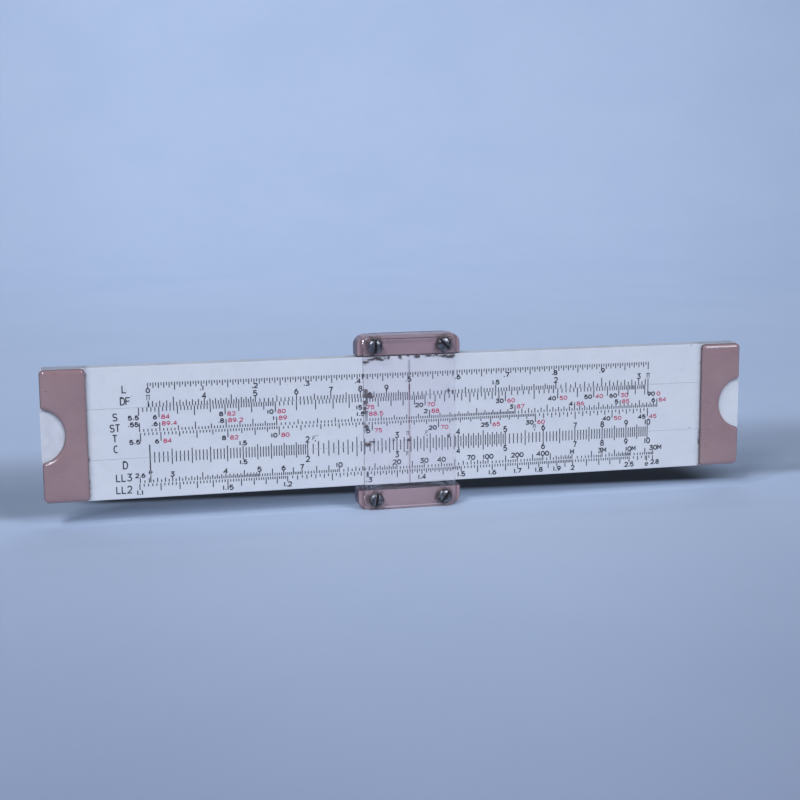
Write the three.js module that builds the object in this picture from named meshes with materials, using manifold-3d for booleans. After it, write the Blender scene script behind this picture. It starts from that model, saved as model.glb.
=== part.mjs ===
// A pocket duplex slide rule, standing on the lower runner of its cursor.
// Millimetres. X runs along the rule, Y through its thickness (the front face looks to -Y), Z up across it.
// The origin is under the middle of the rule, on the surface that it stands on.
import * as THREE from "three";
import { mergeVertices } from "three/addons/utils/BufferGeometryUtils.js";
import Module from "manifold-3d";

// The rule: two stators with the slide between them.
const RULE_LENGTH = 174.4;
const SLIDE_LENGTH = 174.7;
const RULE_THICKNESS = 4.2;
const UPPER_STATOR_HEIGHT = 9.9;
const SLIDE_HEIGHT = 12.0;
const LOWER_STATOR_HEIGHT = 9.7;
const SEAM_GAP = 0.08;
const TONGUE_THICKNESS = 1.5;
const TONGUE_HEIGHT = 1.4;
const TONGUE_CLEARANCE = 0.08;

// The cursor's runners, above and below the rule. The lower one leaves room for the spring.
const RUNNER_LENGTH = 25.8;
const RUNNER_HEIGHT = 5.0;
const RUNNER_OUTER_RADIUS = 2.5;
const RUNNER_INNER_RADIUS = 0.4;
const RUNNER_CLEARANCE = 0.1;
const SPRING_ROOM = 1.1;

// Heights of the seams, counted up from the surface under the lower runner.
const RULE_BOTTOM = RUNNER_HEIGHT + SPRING_ROOM;
const LOWER_SEAM = RULE_BOTTOM + LOWER_STATOR_HEIGHT;
const UPPER_SEAM = LOWER_SEAM + SLIDE_HEIGHT;
const RULE_TOP = UPPER_SEAM + UPPER_STATOR_HEIGHT;
const UPPER_RUNNER_BOTTOM = RULE_TOP + RUNNER_CLEARANCE;
const CURSOR_HEIGHT = UPPER_RUNNER_BOTTOM + RUNNER_HEIGHT;

// The cursor's windows.
const CURSOR_REST_X = 0.28;
const WINDOW_WIDTH = 22.9;
const WINDOW_THICKNESS = 1.2;
const WINDOW_CLEARANCE = 0.25;
const WINDOW_CORNER_RADIUS = 1.7;
const WINDOW_BEVEL = 0.4;
const WINDOW_INNER_Y = RULE_THICKNESS / 2 + WINDOW_CLEARANCE;
const WINDOW_OUTER_Y = WINDOW_INNER_Y + WINDOW_THICKNESS;

// The round-head screws that hold the windows to the runners.
const SCREW_PITCH_X = 17.2;
const SCREW_HEAD_RADIUS = 1.8;
const SCREW_RIM_HEIGHT = 0.25;
const SCREW_DOME_HEIGHT = 0.75;
const SCREW_SHANK_RADIUS = 0.8;
const SCREW_DEPTH_IN_RUNNER = 1.9;
const SCREW_SLOT_WIDTH = 0.6;
const SCREW_SLOT_DEPTH = 0.5;
const SCREW_HOLE_CLEARANCE = 0.12;
const HEAD_GAP = 0.02;

// The leaf spring, bowed up from a recess in the lower runner to the rule's lower edge.
const SPRING_SPAN = 19;
const SPRING_WIDTH = 3.2;
const SPRING_THICKNESS = 0.25;
const SPRING_GAP = 0.03;
const RECESS_LENGTH = 20.5;
const RECESS_WIDTH = 3.7;
const RECESS_DEPTH = 0.4;

// The end braces: a plate on each face, notched for the thumb.
const BRACE_WIDTH = 10.5;
const BRACE_THICKNESS = 1.3;
const BRACE_INSET = 0.1;
const BRACE_OUTER_RADIUS = 1.3;
const BRACE_INNER_RADIUS = 0.9;
const BRACE_EDGE_ROUND = 0.6;
const BRACE_GAP = 0.02;
const SLIDE_RELIEF = 0.15;
const SLIDE_RELIEF_MARGIN = 0.3;
const NOTCH_RADIUS = 6.4;
const NOTCH_DEPTH = 5.3;
const NOTCH_LIP_RADIUS = 1.3;
const NOTCH_CENTRE_ABOVE_SLIDE_MIDDLE = 0.2;

// The countersunk screws that draw the back braces to the front ones, through the stators.
const BRACE_SCREW_OUTER_INSET = 2.9;
const BRACE_SCREW_INNER_INSET = 7.6;
const BRACE_SCREW_ABOVE_STATOR_MIDDLE = 0.6;
const BRACE_SCREW_HEAD_RADIUS = 1.5;
const BRACE_SCREW_HEAD_HEIGHT = 0.75;
const BRACE_SCREW_SHANK_RADIUS = 0.75;
const BRACE_SCREW_HOLE_CLEARANCE = 0.1;
const BRACE_SCREW_BLIND_DEPTH = 0.8;
const BRACE_SCREW_TIP_GAP = 0.1;
const BRACE_SCREW_SUNK = 0.05;
const BRACE_SCREW_SLOT_WIDTH = 0.45;
const BRACE_SCREW_SLOT_DEPTH = 0.3;

const ROUND_SEGMENTS = 16;
const ARC_STEP = 0.9;
const FEWEST_ARC_STEPS = 3;
const SPRING_ARC_STEP = 1.2;
const SAME_POINT = 1e-6;
const MARGIN = 1;

const WHITE_PLASTIC = { color: 0xc6cfe0, roughness: 0.35, metalness: 0 };
const BROWN_PLASTIC = { color: 0x8c7683, roughness: 0.4, metalness: 0 };
const CLEAR_PLASTIC = { color: 0xdde4ee, roughness: 0.05, metalness: 0, transparent: true, opacity: 0.3 };
const DARK_STEEL = { color: 0x55525a, roughness: 0.35, metalness: 0.9 };
const SPRING_STEEL = { color: 0x8a8a8c, roughness: 0.3, metalness: 0.9 };

const wasm = await Module();
wasm.setup();

// Solids, for the cuts.

function toSolid(geometry) {
  const bare = geometry.clone();
  bare.deleteAttribute("normal");
  bare.deleteAttribute("uv");
  const merged = mergeVertices(bare, 1e-4);
  const mesh = new wasm.Mesh({
    numProp: 3,
    vertProperties: merged.attributes.position.array,
    triVerts: new Uint32Array(merged.index.array),
  });
  return new wasm.Manifold(mesh);
}

function toGeometry(solid) {
  const mesh = solid.getMesh();
  const geometry = new THREE.BufferGeometry();
  geometry.setAttribute("position", new THREE.BufferAttribute(mesh.vertProperties, 3));
  geometry.setIndex(new THREE.BufferAttribute(mesh.triVerts, 1));
  return geometry;
}

function cut(geometry, tools) {
  const solid = tools.reduce((left, tool) => left.subtract(toSolid(tool)), toSolid(geometry));
  return toGeometry(solid);
}

// Basic shapes.

function box(x0, x1, y0, y1, z0, z1) {
  const geometry = new THREE.BoxGeometry(x1 - x0, y1 - y0, z1 - z0);
  return geometry.translate((x0 + x1) / 2, (y0 + y1) / 2, (z0 + z1) / 2);
}

// A round bar along Y.
function bar(radius, y0, y1, x, z) {
  const geometry = new THREE.CylinderGeometry(radius, radius, y1 - y0, ROUND_SEGMENTS);
  return geometry.translate(x, (y0 + y1) / 2, z);
}

// A cone along Y, from one radius at y0 to another at y1.
function cone(radius0, radius1, y0, y1, x, z) {
  const geometry = new THREE.CylinderGeometry(radius1, radius0, y1 - y0, ROUND_SEGMENTS);
  return geometry.translate(x, (y0 + y1) / 2, z);
}

// An outline drawn in X and Z, extruded from y0 to y1.
function extrudeAlongY(outline, y0, y1, options = {}) {
  const settings = { depth: y1 - y0, bevelEnabled: false, ...options };
  return new THREE.ExtrudeGeometry(outline, settings).rotateX(Math.PI / 2).translate(0, y1, 0);
}

// A section drawn in Y and Z, extruded along X about the middle.
function extrudeAlongX(section, length) {
  const geometry = new THREE.ExtrudeGeometry(section, { depth: length, bevelEnabled: false });
  const turn = new THREE.Matrix4().set(0, 0, 1, 0, 1, 0, 0, 0, 0, 1, 0, 0, 0, 0, 0, 1);
  return geometry.applyMatrix4(turn).translate(-length / 2, 0, 0);
}

// An outline of arcs joined by straight lines. An arc is [x, z, radius, start angle, end angle].
function outlineOf(arcs, step = ARC_STEP) {
  const points = [];
  for (const [x, z, radius, start, end] of arcs) {
    const steps = Math.max(FEWEST_ARC_STEPS, Math.ceil((Math.abs(end - start) * radius) / step));
    const curve = new THREE.EllipseCurve(x, z, radius, radius, start, end, end < start);
    for (const point of curve.getPoints(steps)) {
      const last = points.at(-1);
      if (!last || last.distanceTo(point) > SAME_POINT) points.push(point);
    }
  }
  return new THREE.Shape(points);
}

// A rectangle with one radius for its lower corners and one for its upper corners.
function roundedRectangle(x0, x1, z0, z1, lowerRadius, upperRadius) {
  const quarter = Math.PI / 2;
  return outlineOf([
    [x0 + lowerRadius, z0 + lowerRadius, lowerRadius, 2 * quarter, 3 * quarter],
    [x1 - lowerRadius, z0 + lowerRadius, lowerRadius, 3 * quarter, 4 * quarter],
    [x1 - upperRadius, z1 - upperRadius, upperRadius, 0, quarter],
    [x0 + upperRadius, z1 - upperRadius, upperRadius, quarter, 2 * quarter],
  ]);
}

// A closed outline through [first, second] coordinate pairs.
function polygon(corners) {
  return new THREE.Shape(corners.map(([first, second]) => new THREE.Vector2(first, second)));
}

// The rule.

// A stator's section: a plain outer edge, and a groove for the slide's tongue in the other.
function statorSection(outerEdge, seamEdge) {
  const half = RULE_THICKNESS / 2;
  const groove = TONGUE_THICKNESS / 2 + TONGUE_CLEARANCE;
  const inward = Math.sign(outerEdge - seamEdge);
  const floor = seamEdge + inward * (TONGUE_HEIGHT + TONGUE_CLEARANCE);
  const grooveSide = [[groove, floor], [groove, seamEdge], [half, seamEdge], [half, outerEdge]];
  const otherSide = grooveSide.map(([y, z]) => [-y, z]).reverse();
  return polygon([...grooveSide, ...otherSide]);
}

function upperStator() {
  const section = statorSection(RULE_TOP, UPPER_SEAM + SEAM_GAP / 2);
  return cut(extrudeAlongX(section, RULE_LENGTH), braceScrewHoles(upperScrewHeight()));
}

function lowerStator() {
  const section = statorSection(RULE_BOTTOM, LOWER_SEAM - SEAM_GAP / 2);
  return cut(extrudeAlongX(section, RULE_LENGTH), braceScrewHoles(lowerScrewHeight()));
}

function slide() {
  const bottom = LOWER_SEAM + SEAM_GAP / 2;
  const top = UPPER_SEAM - SEAM_GAP / 2;
  const half = RULE_THICKNESS / 2;
  const tongue = TONGUE_THICKNESS / 2;
  const backSide = [
    [tongue, bottom - TONGUE_HEIGHT],
    [tongue, bottom],
    [half, bottom],
    [half, top],
    [tongue, top],
    [tongue, top + TONGUE_HEIGHT],
  ];
  const frontSide = backSide.map(([y, z]) => [-y, z]).reverse();
  return extrudeAlongX(polygon([...backSide, ...frontSide]), SLIDE_LENGTH);
}

// The end braces.

function upperScrewHeight() {
  return (UPPER_SEAM + RULE_TOP) / 2 + BRACE_SCREW_ABOVE_STATOR_MIDDLE;
}

function lowerScrewHeight() {
  return (RULE_BOTTOM + LOWER_SEAM) / 2 - BRACE_SCREW_ABOVE_STATOR_MIDDLE;
}

// Distances of the brace screws from the middle of the rule, at one end.
function braceScrewDistances() {
  return {
    outer: RULE_LENGTH / 2 - BRACE_SCREW_OUTER_INSET,
    inner: RULE_LENGTH / 2 - BRACE_SCREW_INNER_INSET,
  };
}

function braceScrewHoles(height) {
  const radius = BRACE_SCREW_SHANK_RADIUS + BRACE_SCREW_HOLE_CLEARANCE;
  const reach = RULE_THICKNESS / 2 + MARGIN;
  const { outer, inner } = braceScrewDistances();
  return [-outer, -inner, inner, outer].map((x) => bar(radius, -reach, reach, x, height));
}

// The brace's outline at the right end, in X and Z.
function braceOutline() {
  const outer = RULE_LENGTH / 2;
  const inner = outer - BRACE_WIDTH;
  const bottom = RULE_BOTTOM + BRACE_INSET;
  const top = RULE_TOP - BRACE_INSET;
  const notchX = outer - NOTCH_DEPTH + NOTCH_RADIUS;
  const notchZ = (LOWER_SEAM + UPPER_SEAM) / 2 + NOTCH_CENTRE_ABOVE_SLIDE_MIDDLE;
  // Each lip of the notch is an arc that touches both the outer edge and the notch's circle.
  const lipX = outer - NOTCH_LIP_RADIUS;
  const between = NOTCH_RADIUS + NOTCH_LIP_RADIUS;
  const lipRise = Math.sqrt(between ** 2 - (notchX - lipX) ** 2);
  const lean = Math.atan2(lipRise, notchX - lipX);
  const half = Math.PI;
  const quarter = Math.PI / 2;
  const innerX = inner + BRACE_INNER_RADIUS;
  const outerX = outer - BRACE_OUTER_RADIUS;
  return outlineOf([
    [innerX, bottom + BRACE_INNER_RADIUS, BRACE_INNER_RADIUS, half, half + quarter],
    [outerX, bottom + BRACE_OUTER_RADIUS, BRACE_OUTER_RADIUS, -quarter, 0],
    [lipX, notchZ - lipRise, NOTCH_LIP_RADIUS, 0, lean],
    [notchX, notchZ, NOTCH_RADIUS, half + lean, half - lean],
    [lipX, notchZ + lipRise, NOTCH_LIP_RADIUS, -lean, 0],
    [outerX, top - BRACE_OUTER_RADIUS, BRACE_OUTER_RADIUS, 0, quarter],
    [innerX, top - BRACE_INNER_RADIUS, BRACE_INNER_RADIUS, quarter, half],
  ]);
}

// A brace plate at the right end, on the back face, without its screw holes. Its outer edges are rounded.
function bracePlate() {
  const seat = RULE_THICKNESS / 2 + BRACE_GAP;
  const face = seat + BRACE_THICKNESS;
  const rounding = {
    bevelEnabled: true,
    bevelThickness: BRACE_EDGE_ROUND,
    bevelSize: BRACE_EDGE_ROUND,
    bevelOffset: -BRACE_EDGE_ROUND,
    bevelSegments: 2,
  };
  const slab = extrudeAlongY(braceOutline(), seat - BRACE_THICKNESS, face - BRACE_EDGE_ROUND, rounding);
  const far = RULE_LENGTH;
  const behindSeat = box(0, far, -far, seat, 0, far);
  const low = LOWER_SEAM - SLIDE_RELIEF_MARGIN;
  const high = UPPER_SEAM + SLIDE_RELIEF_MARGIN;
  const slideRelief = box(0, far, -far, seat + SLIDE_RELIEF, low, high);
  return cut(slab, [behindSeat, slideRelief]);
}

// The screws' positions in a right-hand brace, as [x, z] pairs.
function braceScrewPlaces() {
  const { outer, inner } = braceScrewDistances();
  const heights = [upperScrewHeight(), lowerScrewHeight()];
  return heights.flatMap((z) => [[outer, z], [inner, z]]);
}

// A back plate has through holes, countersunk for the screw heads.
function backBrace() {
  const radius = BRACE_SCREW_SHANK_RADIUS + BRACE_SCREW_HOLE_CLEARANCE;
  const headRadius = BRACE_SCREW_HEAD_RADIUS + BRACE_SCREW_HOLE_CLEARANCE;
  const face = RULE_THICKNESS / 2 + BRACE_GAP + BRACE_THICKNESS;
  const tools = braceScrewPlaces().flatMap(([x, z]) => [
    bar(radius, 0, face + MARGIN, x, z),
    cone(radius, headRadius, face - BRACE_SCREW_HEAD_HEIGHT, face, x, z),
    bar(headRadius, face - BRACE_SCREW_SUNK, face + MARGIN, x, z),
  ]);
  return cut(bracePlate(), tools);
}

// A front plate has blind holes behind, so that its face is plain.
function frontBrace() {
  const radius = BRACE_SCREW_SHANK_RADIUS + BRACE_SCREW_HOLE_CLEARANCE;
  const seat = RULE_THICKNESS / 2 + BRACE_GAP;
  const tools = braceScrewPlaces().map(([x, z]) => bar(radius, 0, seat + BRACE_SCREW_BLIND_DEPTH, x, z));
  return cut(bracePlate(), tools).rotateZ(Math.PI);
}

// A brace screw at the origin, its head towards +Y with the face at y = 0.
function braceScrew() {
  const face = RULE_THICKNESS / 2 + BRACE_GAP + BRACE_THICKNESS - BRACE_SCREW_SUNK;
  const tip = RULE_THICKNESS / 2 + BRACE_GAP + BRACE_SCREW_BLIND_DEPTH - BRACE_SCREW_TIP_GAP;
  const neck = BRACE_SCREW_HEAD_HEIGHT - BRACE_SCREW_SUNK;
  const profile = [
    new THREE.Vector2(0, -face - tip),
    new THREE.Vector2(BRACE_SCREW_SHANK_RADIUS, -face - tip),
    new THREE.Vector2(BRACE_SCREW_SHANK_RADIUS, -neck),
    new THREE.Vector2(BRACE_SCREW_HEAD_RADIUS, 0),
    new THREE.Vector2(0, 0),
  ];
  const turned = new THREE.LatheGeometry(profile, ROUND_SEGMENTS);
  return cut(turned, [slot(BRACE_SCREW_SLOT_WIDTH, -BRACE_SCREW_SLOT_DEPTH, MARGIN)]);
}

// A box along Z through a screw head, between two heights on its axis.
function slot(width, y0, y1) {
  const reach = SCREW_HEAD_RADIUS + MARGIN;
  return box(-width / 2, width / 2, y0, y1, -reach, reach);
}

// The cursor, about its own middle.

function windowScrewPlaces() {
  const upper = UPPER_RUNNER_BOTTOM + RUNNER_HEIGHT / 2;
  const lower = RUNNER_HEIGHT / 2;
  return {
    upper_left: [-SCREW_PITCH_X / 2, upper],
    upper_right: [SCREW_PITCH_X / 2, upper],
    lower_left: [-SCREW_PITCH_X / 2, lower],
    lower_right: [SCREW_PITCH_X / 2, lower],
  };
}

function windowScrewHoles(places) {
  const radius = SCREW_SHANK_RADIUS + SCREW_HOLE_CLEARANCE;
  const reach = WINDOW_OUTER_Y + MARGIN;
  return places.map(([x, z]) => bar(radius, -reach, reach, x, z));
}

// The back window. Its outer edges are bevelled.
function backWindow() {
  const half = WINDOW_WIDTH / 2;
  const outline = roundedRectangle(-half, half, 0, CURSOR_HEIGHT, WINDOW_CORNER_RADIUS, WINDOW_CORNER_RADIUS);
  const bevel = {
    bevelEnabled: true,
    bevelThickness: WINDOW_BEVEL,
    bevelSize: WINDOW_BEVEL,
    bevelOffset: -WINDOW_BEVEL,
    bevelSegments: 1,
  };
  const slab = extrudeAlongY(outline, 0, WINDOW_OUTER_Y - WINDOW_BEVEL, bevel);
  const far = RULE_LENGTH;
  const inside = box(-far, far, -far, WINDOW_INNER_Y, -far, far);
  return cut(slab, [inside, ...windowScrewHoles(Object.values(windowScrewPlaces()))]);
}

// A runner on z = 0, with the rounder corners towards the outside of the cursor.
function runner(lowerRadius, upperRadius) {
  const half = RUNNER_LENGTH / 2;
  const outline = roundedRectangle(-half, half, 0, RUNNER_HEIGHT, lowerRadius, upperRadius);
  const block = extrudeAlongY(outline, -WINDOW_INNER_Y, WINDOW_INNER_Y);
  const places = [-1, 1].map((side) => [(side * SCREW_PITCH_X) / 2, RUNNER_HEIGHT / 2]);
  return cut(block, windowScrewHoles(places));
}

function lowerRunner() {
  const length = RECESS_LENGTH / 2;
  const width = RECESS_WIDTH / 2;
  const floor = RUNNER_HEIGHT - RECESS_DEPTH;
  const recess = box(-length, length, -width, width, floor, RUNNER_HEIGHT + MARGIN);
  return cut(runner(RUNNER_OUTER_RADIUS, RUNNER_INNER_RADIUS), [recess]);
}

// A leaf bowed into an arc, from the recess's floor up to just under the rule.
function tensionSpring() {
  const floor = RUNNER_HEIGHT - RECESS_DEPTH + SPRING_GAP;
  const crown = RULE_BOTTOM - SPRING_GAP;
  const rise = crown - floor - SPRING_THICKNESS;
  const radius = (SPRING_SPAN ** 2 / 4 + rise ** 2) / (2 * rise);
  const halfAngle = Math.asin(SPRING_SPAN / 2 / radius);
  const start = Math.PI / 2 - halfAngle;
  const end = Math.PI / 2 + halfAngle;
  const centre = crown - radius;
  const strip = outlineOf(
    [[0, centre, radius, start, end], [0, centre, radius - SPRING_THICKNESS, end, start]],
    SPRING_ARC_STEP,
  );
  return extrudeAlongY(strip, -SPRING_WIDTH / 2, SPRING_WIDTH / 2);
}

// A window screw at the origin: the head rises to +Y from y = 0, and the shank runs to -Y.
function windowScrew() {
  const shankEnd = -(WINDOW_THICKNESS + SCREW_DEPTH_IN_RUNNER);
  const domeSteps = 4;
  const profile = [
    new THREE.Vector2(0, shankEnd),
    new THREE.Vector2(SCREW_SHANK_RADIUS, shankEnd),
    new THREE.Vector2(SCREW_SHANK_RADIUS, 0),
    new THREE.Vector2(SCREW_HEAD_RADIUS, 0),
  ];
  for (let step = 0; step <= domeSteps; step++) {
    const angle = (step / domeSteps) * (Math.PI / 2);
    const radius = step === domeSteps ? 0 : SCREW_HEAD_RADIUS * Math.cos(angle);
    profile.push(new THREE.Vector2(radius, SCREW_RIM_HEIGHT + SCREW_DOME_HEIGHT * Math.sin(angle)));
  }
  const turned = new THREE.LatheGeometry(profile, ROUND_SEGMENTS);
  const headHeight = SCREW_RIM_HEIGHT + SCREW_DOME_HEIGHT;
  return cut(turned, [slot(SCREW_SLOT_WIDTH, headHeight - SCREW_SLOT_DEPTH, headHeight + MARGIN)]);
}

// Assembly.

function mesh(name, geometry, finish) {
  const made = new THREE.Mesh(geometry, new THREE.MeshStandardMaterial(finish));
  made.name = name;
  return made;
}

function frameGroup() {
  const group = new THREE.Group();
  group.add(mesh("upper_stator", upperStator(), WHITE_PLASTIC));
  group.add(mesh("lower_stator", lowerStator(), WHITE_PLASTIC));
  group.add(mesh("right_back_brace", backBrace(), BROWN_PLASTIC));
  group.add(mesh("left_front_brace", frontBrace(), BROWN_PLASTIC));
  group.add(mirrored("left_back_brace", backBrace(), BROWN_PLASTIC));
  group.add(mirrored("right_front_brace", frontBrace(), BROWN_PLASTIC));
  addBraceScrews(group);
  return group;
}

// The same piece at the other end of the rule.
function mirrored(name, geometry, finish) {
  const made = mesh(name, geometry, finish);
  made.scale.x = -1;
  return made;
}

// How far each brace screw's slot is turned, as they stopped when they were tightened.
const BRACE_SLOT_TURNS = {
  left_upper_outer: 0.4,
  left_upper_inner: -0.6,
  left_lower_outer: 1.3,
  left_lower_inner: 0.1,
  right_upper_outer: -1.2,
  right_upper_inner: 0.8,
  right_lower_outer: -0.3,
  right_lower_inner: 1.0,
};

function addBraceScrews(group) {
  const face = RULE_THICKNESS / 2 + BRACE_GAP + BRACE_THICKNESS - BRACE_SCREW_SUNK;
  const distances = braceScrewDistances();
  const heights = { upper: upperScrewHeight(), lower: lowerScrewHeight() };
  for (const [end, side] of [["left", -1], ["right", 1]]) {
    for (const [level, height] of Object.entries(heights)) {
      for (const [place, distance] of Object.entries(distances)) {
        const screw = mesh(`${end}_${level}_${place}_brace_screw`, braceScrew(), DARK_STEEL);
        screw.position.set(side * distance, face, height);
        screw.rotation.y = BRACE_SLOT_TURNS[`${end}_${level}_${place}`];
        group.add(screw);
      }
    }
  }
}

function slideGroup() {
  const group = new THREE.Group();
  group.add(mesh("slide", slide(), WHITE_PLASTIC));
  return group;
}

// How far each window screw's slot is turned from upright.
const SLOT_TURNS = {
  front_upper_left: -0.05,
  front_upper_right: 0.7,
  front_lower_left: -0.17,
  front_lower_right: -0.65,
  back_upper_left: 1.2,
  back_upper_right: 0.3,
  back_lower_left: -0.5,
  back_lower_right: -1.1,
};

function addWindowScrews(group) {
  const seat = WINDOW_OUTER_Y + HEAD_GAP;
  for (const [place, [x, z]] of Object.entries(windowScrewPlaces())) {
    const back = mesh(`back_${place}_screw`, windowScrew(), DARK_STEEL);
    back.position.set(x, seat, z);
    back.rotation.y = SLOT_TURNS[`back_${place}`];
    const front = mesh(`front_${place}_screw`, windowScrew(), DARK_STEEL);
    front.position.set(x, -seat, z);
    front.rotation.set(Math.PI, SLOT_TURNS[`front_${place}`], 0);
    group.add(back, front);
  }
}

function cursorGroup() {
  const group = new THREE.Group();
  const upperRunner = mesh("upper_runner", runner(RUNNER_INNER_RADIUS, RUNNER_OUTER_RADIUS), BROWN_PLASTIC);
  upperRunner.position.z = UPPER_RUNNER_BOTTOM;
  group.add(upperRunner);
  group.add(mesh("lower_runner", lowerRunner(), BROWN_PLASTIC));
  group.add(mesh("back_window", backWindow(), CLEAR_PLASTIC));
  group.add(mesh("front_window", backWindow().rotateZ(Math.PI), CLEAR_PLASTIC));
  group.add(mesh("tension_spring", tensionSpring(), SPRING_STEEL));
  addWindowScrews(group);
  group.position.x = CURSOR_REST_X;
  return group;
}

const slideRule = new THREE.Group();
slideRule.add(frameGroup(), slideGroup(), cursorGroup());

export default slideRule;
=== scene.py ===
"""The fine surface of a pocket duplex slide rule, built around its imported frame.

The rule stands on the lower runner of its cursor. X runs along the rule, the front face looks to -Y,
and Z is up.
Shapes are worked out in millimetres and turned into metres when their mesh is made.
"""

import math
import random

import bmesh
import bpy
import numpy
from mathutils import Matrix, Vector


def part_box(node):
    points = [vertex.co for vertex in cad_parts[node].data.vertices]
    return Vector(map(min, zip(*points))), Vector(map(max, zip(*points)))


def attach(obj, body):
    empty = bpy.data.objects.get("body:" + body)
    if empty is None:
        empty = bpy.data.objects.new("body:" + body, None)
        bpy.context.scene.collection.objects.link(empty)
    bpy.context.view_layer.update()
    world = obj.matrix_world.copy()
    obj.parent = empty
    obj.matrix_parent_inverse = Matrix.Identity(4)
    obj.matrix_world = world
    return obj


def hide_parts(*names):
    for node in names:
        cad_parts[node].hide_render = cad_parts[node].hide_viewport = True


MM = 0.001

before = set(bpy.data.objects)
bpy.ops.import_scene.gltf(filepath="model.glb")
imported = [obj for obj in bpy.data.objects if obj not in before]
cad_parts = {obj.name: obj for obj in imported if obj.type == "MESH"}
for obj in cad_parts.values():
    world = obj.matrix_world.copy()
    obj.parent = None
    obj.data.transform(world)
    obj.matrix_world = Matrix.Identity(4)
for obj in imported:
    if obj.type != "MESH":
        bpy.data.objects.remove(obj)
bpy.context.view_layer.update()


# ---------------------------------------------------------------- sizes, in millimetres


def box_mm(node):
    """The lowest and highest corners of a CAD node, in millimetres."""
    low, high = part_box(node)
    return low / MM, high / MM


UPPER_STATOR = box_mm("upper_stator")
LOWER_STATOR = box_mm("lower_stator")
SLIDE = box_mm("slide")
UPPER_RUNNER = box_mm("upper_runner")
LOWER_RUNNER = box_mm("lower_runner")
BACK_WINDOW = box_mm("back_window")
BACK_BRACE = box_mm("right_back_brace")
SPRING = box_mm("tension_spring")

FACE_Y = UPPER_STATOR[1].y
RULE_END = UPPER_STATOR[1].x
RULE_TOP = UPPER_STATOR[1].z
RULE_BOTTOM = LOWER_STATOR[0].z
SEAM_GAP = 0.08
UPPER_SEAM = UPPER_STATOR[0].z - SEAM_GAP / 2
LOWER_SEAM = LOWER_STATOR[1].z + SEAM_GAP / 2
TONGUE_HALF = 0.75
TONGUE_CLEARANCE = 0.08
CURSOR_X = (BACK_WINDOW[0].x + BACK_WINDOW[1].x) / 2

EDGE_ROUND = 0.22
SEAM_ROUND = 0.03
FINE_SEAM_GAP = 0.045
END_CHAMFER = SEAM_ROUND
RULE_CORNER_RADIUS = 1.1

BRACE_SEAT = BACK_BRACE[0].y
BRACE_FACE = BACK_BRACE[1].y
BRACE_OUTER_RADIUS = 1.3
BRACE_INNER_RADIUS = 1.1
BRACE_EDGE_ACROSS = 0.95
BRACE_EDGE_DEEP = 0.62
PILLOW_ACROSS = 3.0
PILLOW_DEEP = 0.42
PILLOW_GRID = 0.5
BRACE_SEAT_ROUND = 0.08
SLIDE_RELIEF = 0.15
SLIDE_RELIEF_MARGIN = 0.3
NOTCH_RADIUS = 6.4
NOTCH_DEPTH = 5.4
NOTCH_LIP_RADIUS = 1.0
NOTCH_Z = (LOWER_SEAM + UPPER_SEAM) / 2 + 0.3

BRACE_SCREW_HEAD_RADIUS = 1.5
BRACE_SCREW_SHANK_RADIUS = 0.75
BRACE_SCREW_HEAD_HEIGHT = 0.75
BRACE_SCREW_SUNK = 0.05
BRACE_SCREW_HOLE_CLEARANCE = 0.1
BRACE_SCREW_BLIND_DEPTH = 0.8
BRACE_SCREW_THREAD_DEPTH = 0.12
BRACE_SCREW_THREAD_PITCH = 0.45
BRACE_SCREW_SLOT_HALF = 0.225
BRACE_SCREW_SLOT_DEPTH = 0.3

RUNNER_HALF_HEIGHT = (UPPER_RUNNER[1].z - UPPER_RUNNER[0].z) / 2
RUNNER_OUTER_RADIUS = 2.5
RUNNER_INNER_RADIUS = 0.4
RUNNER_EDGE_ROUND = 0.5
WINDOW_GAP = 0.01
WINDOW_CORNER_RADIUS = 1.7
WINDOW_BEVEL_WIDTH = 0.65
WINDOW_BEVEL_DEPTH = 0.35
WINDOW_FACE_INSET = WINDOW_BEVEL_WIDTH + 0.08
WINDOW_INNER_Y = BACK_WINDOW[0].y + WINDOW_GAP
WINDOW_OUTER_Y = BACK_WINDOW[1].y
SCREW_PITCH = 17.2
SCREW_SEAT = WINDOW_OUTER_Y + 0.02
SCREW_HEAD_RADIUS = 1.8
SCREW_SHANK_RADIUS = 0.8
SCREW_RIM_HEIGHT = 0.25
SCREW_DOME_HEIGHT = 0.73
SCREW_HOLE_RADIUS = 0.92
SCREW_REACH = 3.1
SCREW_THREAD_DEPTH = 0.13
SCREW_THREAD_PITCH = 0.42
SCREW_SLOT_HALF = 0.3
SCREW_SLOT_DEPTH = 0.5
SPRING_THICKNESS = 0.25
SPRING_RECESS_END = 0.75
SPRING_RECESS_SIDE = 0.25
SPRING_RECESS_FLOOR = 0.03

# How far each window screw's slot is turned from upright, in radians. A positive turn leans a front
# slot to the left.
SLOT_TURNS = {
    "front_upper_left": -0.05,
    "front_upper_right": 0.7,
    "front_lower_left": -0.17,
    "front_lower_right": -0.65,
    "back_upper_left": 1.2,
    "back_upper_right": 0.3,
    "back_lower_left": -0.5,
    "back_lower_right": -1.1,
}


# ---------------------------------------------------------------- camera, stage and light


def added(name, data):
    """A new object in the scene."""
    made = bpy.data.objects.new(name, data)
    bpy.context.scene.collection.objects.link(made)
    return made


def mesh_data(name, mesh):
    """A bmesh turned into mesh data, and freed."""
    data = bpy.data.meshes.new(name)
    mesh.to_mesh(data)
    mesh.free()
    return data


CAMERA_AZIMUTH = -13.19
CAMERA_ELEVATION = 9.27
CAMERA_ROLL = -0.48
CAMERA_DISTANCE = 0.36893
CAMERA_TARGET = Vector((-1.92, -2.1, 26.77)) * MM
CAMERA_LENS = 68.2
SENSOR_WIDTH = 36

# The stage, in metres.
FLOOR_RADIUS = 0.75
FLOOR_RINGS = 6
SWEEP_RADIUS = 0.45
SWEEP_STEPS = 16
WALL_TOP = 1.3
STAGE_SIDES = 96


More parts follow.
